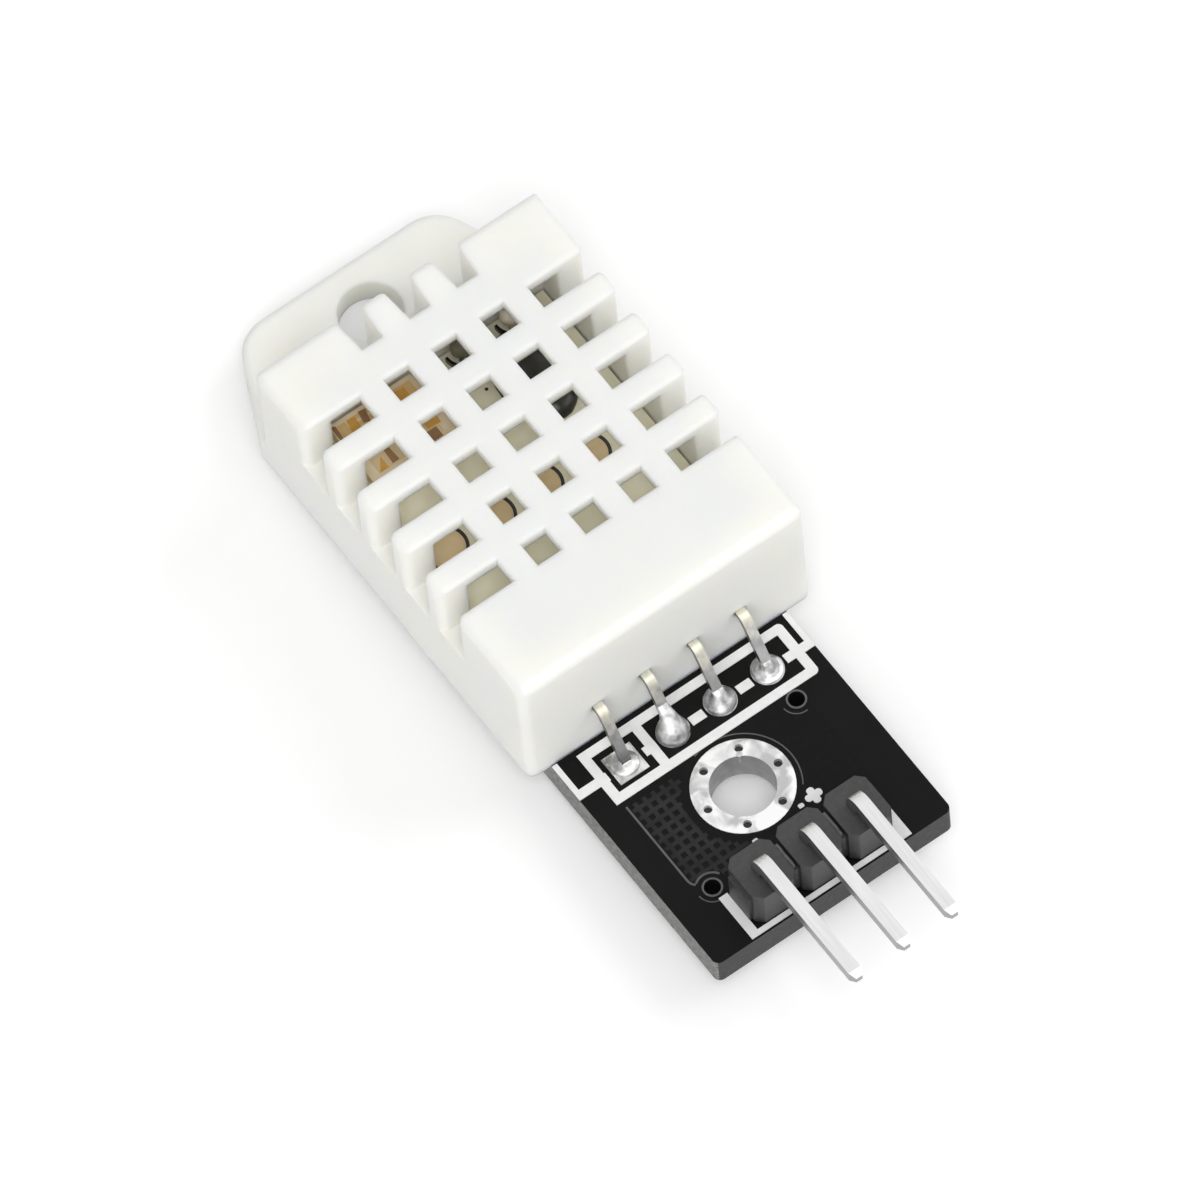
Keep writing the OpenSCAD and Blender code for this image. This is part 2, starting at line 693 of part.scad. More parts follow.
// Header joints are soldered from below: the cone hangs under the board
module header_solder(i) {
    color(c_copper) difference() {
        translate([header_x(i), -header_row, 0]) {
            rotate_extrude() polygon([
                [0, -copper_t - header_tail + 0.35], [0.42, -copper_t - header_tail + 0.35],
                [0.52, -copper_t - header_tail * 0.35], [header_pad_d / 2 - 0.06, -copper_t],
                [header_pad_hole_d / 2, -copper_t], [header_pad_hole_d / 2, board_t + copper_t],
                [0, board_t + copper_t]
            ]);
        }
        header_pin(i);
    }
}

// Chips under the board, beside each other across the board
chips_y = 8.6;
chip_cap = 0.35; // length of a chip's metal end

module chip_at(side) {
    translate([board_shift + side * chip_gap / 2, chips_y, 0]) rotate([180, 0, 0]) children();
}

module chip_pads() {
    color(c_copper) for (side = [-1, 1], e = [-1, 1]) chip_at(side)
        translate([0, e * (chip_l - chip_cap) / 2, 0]) linear_extrude(copper_t)
            square([chip_w, chip_cap + 0.3], center = true);
}

module pull_up_resistor() {
    color("#1E1E1E") chip_at(-1) translate([0, 0, copper_t]) linear_extrude(resistor_t)
        square([chip_w, chip_l], center = true);
}

module supply_capacitor() {
    color("#A98F6B") chip_at(1) translate([0, 0, copper_t]) linear_extrude(capacitor_t)
        square([chip_w, chip_l], center = true);
}

carrier_board();
mounting_ring();
via_eyelets();
sensor_pads();
header_pads();
chip_pads();
board_print();
back_shell();
front_cover();
inner_board();
inner_pads();
humidity_element();
humidity_comb();
humidity_film();
controller();
thermistor();
inner_capacitor();
sensor_pin(0);  // sensor_pin_1
sensor_pin(1);  // sensor_pin_2
sensor_pin(2);  // sensor_pin_3
sensor_pin(3);  // sensor_pin_4
sensor_solder(0);  // sensor_solder_1
sensor_solder(1);  // sensor_solder_2
sensor_solder(2);  // sensor_solder_3
sensor_solder(3);  // sensor_solder_4
header_housing();
header_pin(0);  // header_pin_1
header_pin(1);  // header_pin_2
header_pin(2);  // header_pin_3
header_solder(0);  // header_solder_1
header_solder(1);  // header_solder_2
header_solder(2);  // header_solder_3
pull_up_resistor();
supply_capacitor();
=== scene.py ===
# %% [markdown]
# # A temperature and humidity sensor on its carrier board
#
# The solids of this module come ready made: the white vented housing, the black board, the pins
# and what lies inside. This lesson dresses them. It sets up the view, gives every solid the finish
# that it has in the hand, and then adds the small things that a maker would miss: the run of the
# solder, the copper under the lacquer, the dipped beads behind the grille. The floor and the light
# come last.

# %% Load the solids
import math
import bpy
import bmesh
from mathutils import Matrix, Vector, noise


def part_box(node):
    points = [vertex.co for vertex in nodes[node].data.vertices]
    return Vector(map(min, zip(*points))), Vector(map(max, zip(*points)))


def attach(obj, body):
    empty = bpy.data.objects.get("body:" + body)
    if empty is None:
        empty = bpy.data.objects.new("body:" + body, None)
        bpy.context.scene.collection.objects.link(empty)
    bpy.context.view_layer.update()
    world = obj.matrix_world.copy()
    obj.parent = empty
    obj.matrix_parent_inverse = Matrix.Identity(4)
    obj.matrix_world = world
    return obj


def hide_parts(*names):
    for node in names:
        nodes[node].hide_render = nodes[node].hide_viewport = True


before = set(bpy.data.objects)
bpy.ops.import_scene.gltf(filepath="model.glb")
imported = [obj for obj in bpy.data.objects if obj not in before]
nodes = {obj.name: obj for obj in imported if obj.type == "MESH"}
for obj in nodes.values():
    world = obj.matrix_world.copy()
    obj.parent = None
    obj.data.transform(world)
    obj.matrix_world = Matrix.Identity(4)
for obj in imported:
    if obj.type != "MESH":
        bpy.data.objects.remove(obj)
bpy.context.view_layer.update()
scene = bpy.context.scene
scene.view_settings.view_transform = "Standard"

# %% [markdown]
# Everything here is small, so sizes are written in millimetres and turned to metres by one factor.
# Colours are written as the hex values that a picture shows. Shaders calculate in linear light,
# so one function undoes the sRGB curve of each channel.

# %% Units and colours
mm = 0.001


def linear(hex_colour):
    channels = [int(hex_colour[i:i + 2], 16) / 255 for i in (1, 3, 5)]
    straightened = [c / 12.92 if c <= 0.04045 else ((c + 0.055) / 1.055) ** 2.4 for c in channels]
    return (*straightened, 1.0)


print("mid grey #808080 in linear light:", round(linear("#808080")[0], 3))

# %% [markdown]
# ## The view
#
# The picture was taken from about a metre away with a long lens, so the board's edges look
# parallel. A camera could be turned by hand until it looks right. Here it is given by numbers
# instead, which came from fitting the known 2.54 mm pitch of the pins to the picture: the point it
# looks at, its distance, its heading, how far it looks down, and how far it leans.

# %% Camera
target = Vector((0.4286, 11.2131, 1.6)) * mm
distance = 972.26 * mm
heading, elevation, roll, view_angle = (math.radians(a) for a in (30.266, 61.429, 6.219, 3.0748))
look = Vector((math.sin(heading) * math.cos(elevation), math.cos(heading) * math.cos(elevation),
               -math.sin(elevation)))
level = look.cross(Vector((0, 0, 1))).normalized()
upright = level.cross(look)
up = upright * math.cos(roll) + level * math.sin(roll)
right = look.cross(up)

camera = bpy.data.objects.new("camera", bpy.data.cameras.new("camera"))
camera.data.sensor_fit = "AUTO"
camera.data.sensor_width = 36
camera.data.angle = view_angle
camera.data.clip_start = 0.05
camera.data.clip_end = 20
camera.matrix_world = Matrix((right, up, -look)).transposed().to_4x4()
camera.location = target - look * distance
scene.collection.objects.link(camera)
scene.camera = camera
print("camera at", [round(c, 4) for c in camera.location], "lens", round(camera.data.lens), "mm")

# %% [markdown]
# ## Materials as graphs
#
# A material in Blender is a graph of nodes. Writing graphs by hand is mostly adding a node, setting
# a few sockets and linking others, so one small function does just that. A value that is a socket
# of another node becomes a link, and any other value is typed into the socket.

# %% One function that adds a node


def add(tree, kind, sockets=None, **settings):
    node = tree.nodes.new(kind)
    for name, value in settings.items():
        setattr(node, name, value)
    for name, value in (sockets or {}).items():
        socket = node.inputs[name]
        if isinstance(value, bpy.types.NodeSocket):
            tree.links.new(value, socket)
        else:
            socket.default_value = value
    return node


def new_material(name):
    material = bpy.data.materials.new(name)
    material.use_nodes = True
    material.node_tree.nodes.clear()
    return material, material.node_tree


def dress(material, *names):
    for name in names:
        nodes[name].data.materials.clear()
        nodes[name].data.materials.append(material)
    print(material.name, "on", ", ".join(names))


# %% [markdown]
# A pattern is scaled by a real size. Noise repeats about once per unit of its coordinates divided
# by its scale. Object space is in metres, so a grain of g millimetres needs a scale of
# 1 / (g * mm). Many real grains here are finer than a pixel of the picture, which is 0.04 mm wide.
# They are drawn about three pixels wide or more, as coarse as they need to be to show.

# %% Pattern scale


def grain(size_mm):
    return 1 / (size_mm * mm)


print("a 0.1 mm grain needs a noise scale of", round(grain(0.1)))

# %% [markdown]
# ## The white housing: moulded ABS
#
# The two shells are injection moulded in white ABS. The mould is finely spark eroded, which leaves
# a matt grain, and every edge has a small radius. The plastic lets a little light in, so thin bars
# glow and shadows in the slots turn warm. The radii could be modelled, but on a grille with so many
# edges a Bevel node does it for the light alone. Subsurface scattering gives the depth. The shells
# are welded so well that no seam shows, so the rounding stops, and the depth runs out, at the
# height where they meet. The grain is about 0.05 mm in the real mould and is drawn at 0.16 mm.

# %% Moulded white ABS
seam_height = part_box("back_shell")[1][2]
abs_white, tree = new_material("moulded_white_abs")
place = add(tree, "ShaderNodeTexCoord")
rounded = add(tree, "ShaderNodeBevel", {"Radius": 0.25 * mm}, samples=6)
surface = add(tree, "ShaderNodeNewGeometry")
spot = add(tree, "ShaderNodeSeparateXYZ", {"Vector": place.outputs["Object"]})
above_seam = add(tree, "ShaderNodeMath", {0: spot.outputs["Z"], 1: seam_height},
                 operation="SUBTRACT")
from_seam = add(tree, "ShaderNodeMath", {0: above_seam.outputs["Value"]}, operation="ABSOLUTE")
at_seam = add(tree, "ShaderNodeMath", {0: from_seam.outputs["Value"], 1: 0.32 * mm},
              operation="LESS_THAN")
depth = add(tree, "ShaderNodeMapRange", {
    "Value": from_seam.outputs["Value"], "From Min": 0.1 * mm, "From Max": 3 * mm,
    "To Min": 0.02 * mm, "To Max": 1.1 * mm})
soft_edge = add(tree, "ShaderNodeMix", {
    "Factor": at_seam.outputs["Value"], "A": rounded.outputs["Normal"],
    "B": surface.outputs["Normal"]}, data_type="VECTOR")
spark_grain = add(tree, "ShaderNodeTexNoise", {
    "Vector": place.outputs["Object"], "Scale": grain(0.16), "Detail": 2.0})
grain_bump = add(tree, "ShaderNodeBump", {
    "Height": spark_grain.outputs["Fac"], "Strength": 0.12, "Distance": 0.01 * mm,
    "Normal": soft_edge.outputs["Result"]})
flow = add(tree, "ShaderNodeTexNoise", {
    "Vector": place.outputs["Object"], "Scale": grain(7), "Detail": 1.0})
tone = add(tree, "ShaderNodeMix", {
    "Factor": flow.outputs["Fac"], "A": linear("#F4F4ED"), "B": linear("#F8F7F2")},
    data_type="RGBA")
plastic = add(tree, "ShaderNodeBsdfPrincipled", {
    "Base Color": tone.outputs["Result"], "Roughness": 0.62, "IOR": 1.54,
    "Subsurface Weight": 0.9, "Subsurface Radius": (1.0, 0.9, 0.72),
    "Subsurface Scale": depth.outputs["Result"], "Normal": grain_bump.outputs["Normal"]})
add(tree, "ShaderNodeOutputMaterial", {"Surface": plastic.outputs["BSDF"]})
dress(abs_white, "front_cover", "back_shell")

# %% [markdown]
# ## The board: glass-fibre laminate under black lacquer
#
# The faces carry a black solder mask, a satin lacquer. The cut edges and the drilled bore show the
# raw laminate, which is grey with a fibre's streaks. The long sides are painted lighter, with the
# streaks in stronger contrast, and the ends darker: painted light and shade on one laminate. A
# material for each face would need the solid's faces sorted, and all are one solid, so the face's
# own direction chooses the finish.
# The glass yarn lies in layers, so its noise is squeezed to a third of its size in height.

# %% Lacquered laminate
mostly = 0.7  # a face looks along an axis when this much of its direction lies on that axis
board_finish, tree = new_material("lacquered_laminate")
place = add(tree, "ShaderNodeTexCoord")
geometry = add(tree, "ShaderNodeNewGeometry")
facing = add(tree, "ShaderNodeSeparateXYZ", {"Vector": geometry.outputs["True Normal"]})
flatness = add(tree, "ShaderNodeMath", {0: facing.outputs["Z"]}, operation="ABSOLUTE")
is_face = add(tree, "ShaderNodeMath", {0: flatness.outputs["Value"], 1: mostly},
              operation="GREATER_THAN")
cloud = add(tree, "ShaderNodeTexNoise", {
    "Vector": place.outputs["Object"], "Scale": grain(3), "Detail": 2.0})
mask_colour = add(tree, "ShaderNodeMix", {
    "Factor": cloud.outputs["Fac"], "A": linear("#0A0A0A"), "B": linear("#161616")},
    data_type="RGBA")
mask = add(tree, "ShaderNodeBsdfPrincipled", {
    "Base Color": mask_colour.outputs["Result"], "Roughness": 0.38, "IOR": 1.5,
    "Specular IOR Level": 0.1})
layers = add(tree, "ShaderNodeMapping", {"Vector": place.outputs["Object"], "Scale": (1, 1, 3)})
fibre = add(tree, "ShaderNodeTexNoise", {
    "Vector": layers.outputs["Vector"], "Scale": grain(0.24), "Detail": 4.0})
# painted shade: the ends take a darker copy of the laminate's streaks
shaded_end_colour = add(tree, "ShaderNodeMix", {
    "Factor": fibre.outputs["Fac"], "A": linear("#262626"), "B": linear("#4E4E4D")},
    data_type="RGBA")
splinters = add(tree, "ShaderNodeMapRange", {
    "Value": fibre.outputs["Fac"], "From Min": 0.4, "From Max": 0.65})
# painted light: the long sides take a lighter copy, with the streaks in stronger contrast
lit_side_colour = add(tree, "ShaderNodeMix", {
    "Factor": splinters.outputs["Result"], "A": linear("#6A6A69"), "B": linear("#979795")},
    data_type="RGBA")
sideways = add(tree, "ShaderNodeMath", {0: facing.outputs["X"]}, operation="ABSOLUTE")
is_side = add(tree, "ShaderNodeMath", {0: sideways.outputs["Value"], 1: mostly},
              operation="GREATER_THAN")
edge_colour = add(tree, "ShaderNodeMix", {
    "Factor": is_side.outputs["Value"], "A": shaded_end_colour.outputs["Result"],
    "B": lit_side_colour.outputs["Result"]}, data_type="RGBA")
edge_bump = add(tree, "ShaderNodeBump", {
    "Height": fibre.outputs["Fac"], "Strength": 0.5, "Distance": 0.05 * mm})
laminate = add(tree, "ShaderNodeBsdfPrincipled", {
    "Base Color": edge_colour.outputs["Result"], "Roughness": 0.75, "IOR": 1.5,
    "Normal": edge_bump.outputs["Normal"]})
face_or_edge = add(tree, "ShaderNodeMixShader", {
    0: is_face.outputs["Value"], 1: laminate.outputs["BSDF"], 2: mask.outputs["BSDF"]})
add(tree, "ShaderNodeOutputMaterial", {"Surface": face_or_edge.outputs["Shader"]})
dress(board_finish, "carrier_board")

# %% [markdown]
# ## White screen print
#
# The lines and frames on the board are epoxy ink, pushed through a screen: nearly white, matt and a
# little thinner in places. They could be a picture on the board, but as the print is a solid of its
# own, it only needs ink. The screen's threads are finer than a pixel, so the marks of its mesh are
# drawn at 0.25 mm.

# %% Screen print
screen_ink, tree = new_material("epoxy_screen_ink")
place = add(tree, "ShaderNodeTexCoord")
mesh_marks = add(tree, "ShaderNodeTexNoise", {
    "Vector": place.outputs["Object"], "Scale": grain(0.25), "Detail": 3.0})
ink_tone = add(tree, "ShaderNodeMix", {
    "Factor": mesh_marks.outputs["Fac"], "A": linear("#DCDCDC"), "B": linear("#ECECEC")},
    data_type="RGBA")
ink = add(tree, "ShaderNodeBsdfPrincipled", {
    "Base Color": ink_tone.outputs["Result"], "Roughness": 0.6, "IOR": 1.5})
add(tree, "ShaderNodeOutputMaterial", {"Surface": ink.outputs["BSDF"]})
dress(screen_ink, "board_print")

# %% [markdown]
# ## Tin on copper
#
# The ring and the pads are copper that was dipped in molten tin. The tin froze in soft waves of
# about a millimetre, with brighter and greyer patches, and stayed duller on upright faces. One
# noise drives both the waves and the patches, because they come from the same freezing.

# %% Hot-dipped tin
dipped_tin, tree = new_material("hot_dipped_tin")
place = add(tree, "ShaderNodeTexCoord")
waves = add(tree, "ShaderNodeTexNoise", {
    "Vector": place.outputs["Object"], "Scale": grain(1.1), "Detail": 2.0, "Distortion": 0.6})
wave_bump = add(tree, "ShaderNodeBump", {
    "Height": waves.outputs["Fac"], "Strength": 0.5, "Distance": 0.12 * mm})
patches = add(tree, "ShaderNodeMapRange", {
    "Value": waves.outputs["Fac"], "From Min": 0.4, "From Max": 0.58})
tin_tone = add(tree, "ShaderNodeMix", {
    "Factor": patches.outputs["Result"], "A": linear("#C2C2C2"), "B": linear("#FAFAFA")},
    data_type="RGBA")
geometry = add(tree, "ShaderNodeNewGeometry")
facing = add(tree, "ShaderNodeSeparateXYZ", {"Vector": geometry.outputs["True Normal"]})
flatness = add(tree, "ShaderNodeMath", {0: facing.outputs["Z"]}, operation="ABSOLUTE")
polish = add(tree, "ShaderNodeMapRange", {
    "Value": flatness.outputs["Value"], "From Min": 0.3, "From Max": 0.9,
    "To Min": 0.7, "To Max": 0.22})
tin = add(tree, "ShaderNodeBsdfPrincipled", {
    "Base Color": tin_tone.outputs["Result"], "Metallic": 1.0,
    "Roughness": polish.outputs["Result"], "Normal": wave_bump.outputs["Normal"]})
add(tree, "ShaderNodeOutputMaterial", {"Surface": tin.outputs["BSDF"]})
dress(dipped_tin, "mounting_ring", "sensor_pads", "header_pads", "chip_pads")

# %% [markdown]
# ## Solder
#
# Solder is tin alloy that froze in drops. Its skin is bright where it froze smooth, and grey where
# crystals reached the surface, so one fine noise gives the bump, the tone and the roughness.

# %% Solder
solder, tree = new_material("frozen_solder")
place = add(tree, "ShaderNodeTexCoord")
skin = add(tree, "ShaderNodeTexNoise", {
    "Vector": place.outputs["Object"], "Scale": grain(0.45), "Detail": 3.0})
skin_bump = add(tree, "ShaderNodeBump", {
    "Height": skin.outputs["Fac"], "Strength": 0.5, "Distance": 0.06 * mm})
dull = add(tree, "ShaderNodeMapRange", {
    "Value": skin.outputs["Fac"], "To Min": 0.3, "To Max": 0.65})
crystals = add(tree, "ShaderNodeMapRange", {
    "Value": skin.outputs["Fac"], "From Min": 0.38, "From Max": 0.6})
solder_tone = add(tree, "ShaderNodeMix", {
    "Factor": crystals.outputs["Result"], "A": linear("#9C9C9C"), "B": linear("#D6D6D6")},
    data_type="RGBA")
alloy = add(tree, "ShaderNodeBsdfPrincipled", {
    "Base Color": solder_tone.outputs["Result"], "Metallic": 1.0,
    "Roughness": dull.outputs["Result"], "Normal": skin_bump.outputs["Normal"]})
add(tree, "ShaderNodeOutputMaterial", {"Surface": alloy.outputs["BSDF"]})
dress(solder, "sensor_solder_1", "sensor_solder_2", "sensor_solder_3", "sensor_solder_4",
      "header_solder_1", "header_solder_2", "header_solder_3")

# %% [markdown]
# ## Pins
#
# The pins are brass with a thin tin plating. The header's are square wire and the sensor's are
# sheared from strip. Fine lines run along them, so the noise is squeezed across the pin and long
# along it. Their sides and undersides are painted darker, as shade, and the face's direction picks
# them out: they are those that look up the least. Flux has left the sensor's pins grey near the
# solder, up to an uneven height. As two kinds of wire share one finish, it is a function with their
# differences.

# %% Tinned wire
looks_up = 0.3  # a face that looks up by less than this is a side
stain_height, stain_fade = 1.6, 1.2


def tinned_wire(name, light, dark, side_shade, along, clean_from):
    """Tin plating with its noise stretched by along, and grey below clean_from (mm)."""
    material, tree = new_material(name)
    place = add(tree, "ShaderNodeTexCoord")
    drawn = add(tree, "ShaderNodeMapping", {"Vector": place.outputs["Object"], "Scale": along})
    lines = add(tree, "ShaderNodeTexNoise", {
        "Vector": drawn.outputs["Vector"], "Scale": grain(0.12), "Detail": 2.0})
    bump = add(tree, "ShaderNodeBump", {
        "Height": lines.outputs["Fac"], "Strength": 0.25, "Distance": 0.02 * mm})
    colour = add(tree, "ShaderNodeMix", {
        "Factor": lines.outputs["Fac"], "A": linear(dark), "B": linear(light)}, data_type="RGBA")
    stains = add(tree, "ShaderNodeTexNoise", {
        "Vector": place.outputs["Object"], "Scale": grain(0.5), "Detail": 3.0})
    spot = add(tree, "ShaderNodeSeparateXYZ", {"Vector": place.outputs["Object"]})
    height = add(tree, "ShaderNodeMath", {
        0: stains.outputs["Fac"], 1: stain_height * mm, 2: spot.outputs["Z"]},
        operation="MULTIPLY_ADD")
    clean = add(tree, "ShaderNodeMapRange", {
        "Value": height.outputs["Value"], "From Min": clean_from * mm,
        "From Max": (clean_from + stain_fade) * mm})
    flux_grey = add(tree, "ShaderNodeMix", {
        "Factor": stains.outputs["Fac"], "A": linear("#868686"), "B": linear("#D6D6D6")},
        data_type="RGBA")
    top_tone = add(tree, "ShaderNodeMix", {
        "Factor": clean.outputs["Result"], "A": flux_grey.outputs["Result"],
        "B": colour.outputs["Result"]}, data_type="RGBA")
    geometry = add(tree, "ShaderNodeNewGeometry")
    facing = add(tree, "ShaderNodeSeparateXYZ", {"Vector": geometry.outputs["True Normal"]})
    # painted shade: faces that look up the least take the darker side tone
    is_side = add(tree, "ShaderNodeMath", {0: facing.outputs["Z"], 1: looks_up},
                  operation="LESS_THAN")
    tone = add(tree, "ShaderNodeMix", {
        "Factor": is_side.outputs["Value"], "A": top_tone.outputs["Result"],
        "B": linear(side_shade)}, data_type="RGBA")
    plating = add(tree, "ShaderNodeBsdfPrincipled", {
        "Base Color": tone.outputs["Result"], "Metallic": 1.0, "Roughness": 0.34,
        "Normal": bump.outputs["Normal"]})
    add(tree, "ShaderNodeOutputMaterial", {"Surface": plating.outputs["BSDF"]})
    return material


# the third colour of each is painted shade on the pins' sides and undersides
header_wire = tinned_wire("tinned_square_wire", "#EEEEEE", "#D2D2D2", "#A2A2A2", (1, 0.05, 0.4), 0)
sensor_wire = tinned_wire("tinned_flat_wire", "#F8F4E2", "#DCD8C2", "#8E8C84", (1, 0.3, 0.15), 4.1)
dress(header_wire, "header_pin_1", "header_pin_2", "header_pin_3")
dress(sensor_wire, "sensor_pin_1", "sensor_pin_2", "sensor_pin_3", "sensor_pin_4")

# %% [markdown]
# ## Lacquered vias
#
# The two vias are covered by the board's lacquer, so only a thin rim of each shows through, as
# grey where the lacquer is thin on the copper. Clear lacquer over metal could be layered, but at
# this size its mixed tone is all that is seen.

# %% Lacquer over a via's rim
via_rim, tree = new_material("lacquer_over_copper")
place = add(tree, "ShaderNodeTexCoord")
wear = add(tree, "ShaderNodeTexNoise", {
    "Vector": place.outputs["Object"], "Scale": grain(0.4), "Detail": 2.0})
rim_tone = add(tree, "ShaderNodeMix", {
    "Factor": wear.outputs["Fac"], "A": linear("#4A4A4A"), "B": linear("#7E7E7E")},
    data_type="RGBA")
rim = add(tree, "ShaderNodeBsdfPrincipled", {
    "Base Color": rim_tone.outputs["Result"], "Roughness": 0.35, "IOR": 1.5})
add(tree, "ShaderNodeOutputMaterial", {"Surface": rim.outputs["BSDF"]})
dress(via_rim, "via_eyelets")

# %% [markdown]
# ## The header's black plastic
#
# Glass-filled polyester, moulded in strips and snapped to length. It is satin black, speckled by
# its glass and by dust, and its edges are slightly worn. A Bevel node rounds them for the light,
# as on the housing. The speckle is finer than a pixel and is drawn at 0.2 mm.

# %% Header plastic
header_plastic, tree = new_material("glass_filled_polyester")
place = add(tree, "ShaderNodeTexCoord")
worn_edge = add(tree, "ShaderNodeBevel", {"Radius": 0.08 * mm}, samples=4)
speckle = add(tree, "ShaderNodeTexNoise", {
    "Vector": place.outputs["Object"], "Scale": grain(0.2), "Detail": 3.0})
black = add(tree, "ShaderNodeMix", {
    "Factor": speckle.outputs["Fac"], "A": linear("#1E1E1E"), "B": linear("#3A3A3A")},
    data_type="RGBA")
speckle_bump = add(tree, "ShaderNodeBump", {
    "Height": speckle.outputs["Fac"], "Strength": 0.3, "Distance": 0.02 * mm,
    "Normal": worn_edge.outputs["Normal"]})
polyester = add(tree, "ShaderNodeBsdfPrincipled", {
    "Base Color": black.outputs["Result"], "Roughness": 0.45, "IOR": 1.57,
    "Normal": speckle_bump.outputs["Normal"]})
add(tree, "ShaderNodeOutputMaterial", {"Surface": polyester.outputs["BSDF"]})
dress(header_plastic, "header_housing")

# %% [markdown]
# ## What shows through the grille
#
# The inner board is thin, pale laminate under a clear lacquer. On it sit a cream alumina plate with
# printed gold electrodes and a brown polymer film, which measures humidity, two dipped beads, of
# which one measures temperature, and a controller under black epoxy. Each is seen through openings
# of a millimetre, so all share one recipe: a fine clouding between two tones. The tones are lighter
# than the things look, because little light reaches them.

# %% Inner laminate and small finishes


def plain_finish(name, light, dark, grain_mm, roughness, ior=1.5, metallic=0.0, sheen_level=0.5):
    """A surface with a fine clouding between two tones."""
    material, tree = new_material(name)
    place = add(tree, "ShaderNodeTexCoord")
    clouding = add(tree, "ShaderNodeTexNoise", {
        "Vector": place.outputs["Object"], "Scale": grain(grain_mm), "Detail": 3.0})
    colour = add(tree, "ShaderNodeMix", {
        "Factor": clouding.outputs["Fac"], "A": linear(dark), "B": linear(light)},
        data_type="RGBA")
    bump = add(tree, "ShaderNodeBump", {
        "Height": clouding.outputs["Fac"], "Strength": 0.2, "Distance": 0.02 * mm})
    coat = add(tree, "ShaderNodeBsdfPrincipled", {
        "Base Color": colour.outputs["Result"], "Roughness": roughness, "IOR": ior,
        "Metallic": metallic, "Specular IOR Level": sheen_level,
        "Normal": bump.outputs["Normal"]})
    add(tree, "ShaderNodeOutputMaterial", {"Surface": coat.outputs["BSDF"]})
    return material


# glass laminate under clear lacquer: pale khaki with a soft sheen
dress(plain_finish("khaki_laminate", "#F8F4DE", "#F1ECD0", 0.9, 0.5), "inner_board")
# plated pads under the same lacquer: tan, a little shinier
dress(plain_finish("tan_test_pad", "#E6CFA6", "#D8BE92", 0.5, 0.4), "inner_pads")
# fired ceramic: cream and nearly matt
dress(plain_finish("cream_alumina", "#F6E6CA", "#ECD6B2", 0.4, 0.55, 1.76), "humidity_element")
# gold ink, printed and fired: warm, with hardly a mirror left
dress(plain_finish("printed_gold", "#EACB96", "#DDB878", 0.3, 0.45, metallic=0.15), "humidity_comb")
# a clear brown coat that lets the plate show through: pale brown and smooth
dress(plain_finish("brown_polymer_film", "#E8D4B0", "#DCC294", 0.5, 0.35), "humidity_film")
# cast epoxy: black with a broad sheen
potting_resin = plain_finish("black_epoxy_resin", "#2C2C2A", "#1E1E1C", 0.8, 0.3)
dress(potting_resin, "controller", "thermistor", "inner_capacitor")

# %% [markdown]
# ## Chips under the board
#
# The two chips under the board are fired ceramic, one with a black glaze, with ends dipped in tin.
# One solid carries both finishes, so the distance from the chip's middle chooses between body and
# end cap. It is measured from the solid itself, and follows when that changes.

# %% Chips with tinned ends
cap_length = 0.35 * mm


def chip_finish(name, node, body_light, body_dark, roughness):
    low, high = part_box(node)
    middle = (low[1] + high[1]) / 2
    bare = (high[1] - low[1]) / 2 - cap_length
    material, tree = new_material(name)
    place = add(tree, "ShaderNodeTexCoord")
    spot = add(tree, "ShaderNodeSeparateXYZ", {"Vector": place.outputs["Object"]})
    from_middle = add(tree, "ShaderNodeMath", {0: spot.outputs["Y"], 1: middle},
                      operation="SUBTRACT")
    reach = add(tree, "ShaderNodeMath", {0: from_middle.outputs["Value"]}, operation="ABSOLUTE")
    is_cap = add(tree, "ShaderNodeMath", {0: reach.outputs["Value"], 1: bare},
                 operation="GREATER_THAN")
    clouding = add(tree, "ShaderNodeTexNoise", {
        "Vector": place.outputs["Object"], "Scale": grain(0.2), "Detail": 2.0})
    colour = add(tree, "ShaderNodeMix", {
        "Factor": clouding.outputs["Fac"], "A": linear(body_dark), "B": linear(body_light)},
        data_type="RGBA")
    body = add(tree, "ShaderNodeBsdfPrincipled", {
        "Base Color": colour.outputs["Result"], "Roughness": roughness})
    cap = add(tree, "ShaderNodeBsdfPrincipled", {
        "Base Color": linear("#D0D0CE"), "Metallic": 1.0, "Roughness": 0.35})
    cap_or_body = add(tree, "ShaderNodeMixShader", {
        0: is_cap.outputs["Value"], 1: body.outputs["BSDF"], 2: cap.outputs["BSDF"]})
    add(tree, "ShaderNodeOutputMaterial", {"Surface": cap_or_body.outputs["Shader"]})
    dress(material, node)


chip_finish("glazed_resistor", "pull_up_resistor", "#24242A", "#18181C", 0.25)
chip_finish("tan_ceramic_capacitor", "supply_capacitor", "#B59A72", "#A0855E", 0.5)

# %% [markdown]
# ## Small pieces
#
# The rest is made here, piece by piece. Each piece is a mesh that a few lines of code write: a
# film is a flat outline with a thickness, a ribbon is a film along a path, a hoop is a ribbon that
# closes, a disc is a round film, and a lathe shape is a stack of rings. One helper turns the
# finished mesh into an object that moves with the module. Sizes here are in millimetres.

# %% Turn a mesh into a piece
board_top = 1.6
copper_top = 1.65


def piece_from(bm, name, material, smooth=False):
    bmesh.ops.recalc_face_normals(bm, faces=bm.faces)
    mesh = bpy.data.meshes.new(name)
    bm.to_mesh(mesh)
    bm.free()
    for face in mesh.polygons:
        face.use_smooth = smooth
    mesh.materials.append(material)
    piece = bpy.data.objects.new(name, mesh)
    scene.collection.objects.link(piece)
    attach(piece, "root")
    print(name, "has", len(mesh.polygons), "faces")
    return piece


print("the board's top is at", board_top, "mm and its copper's at", copper_top, "mm")

# %% Films and ribbons


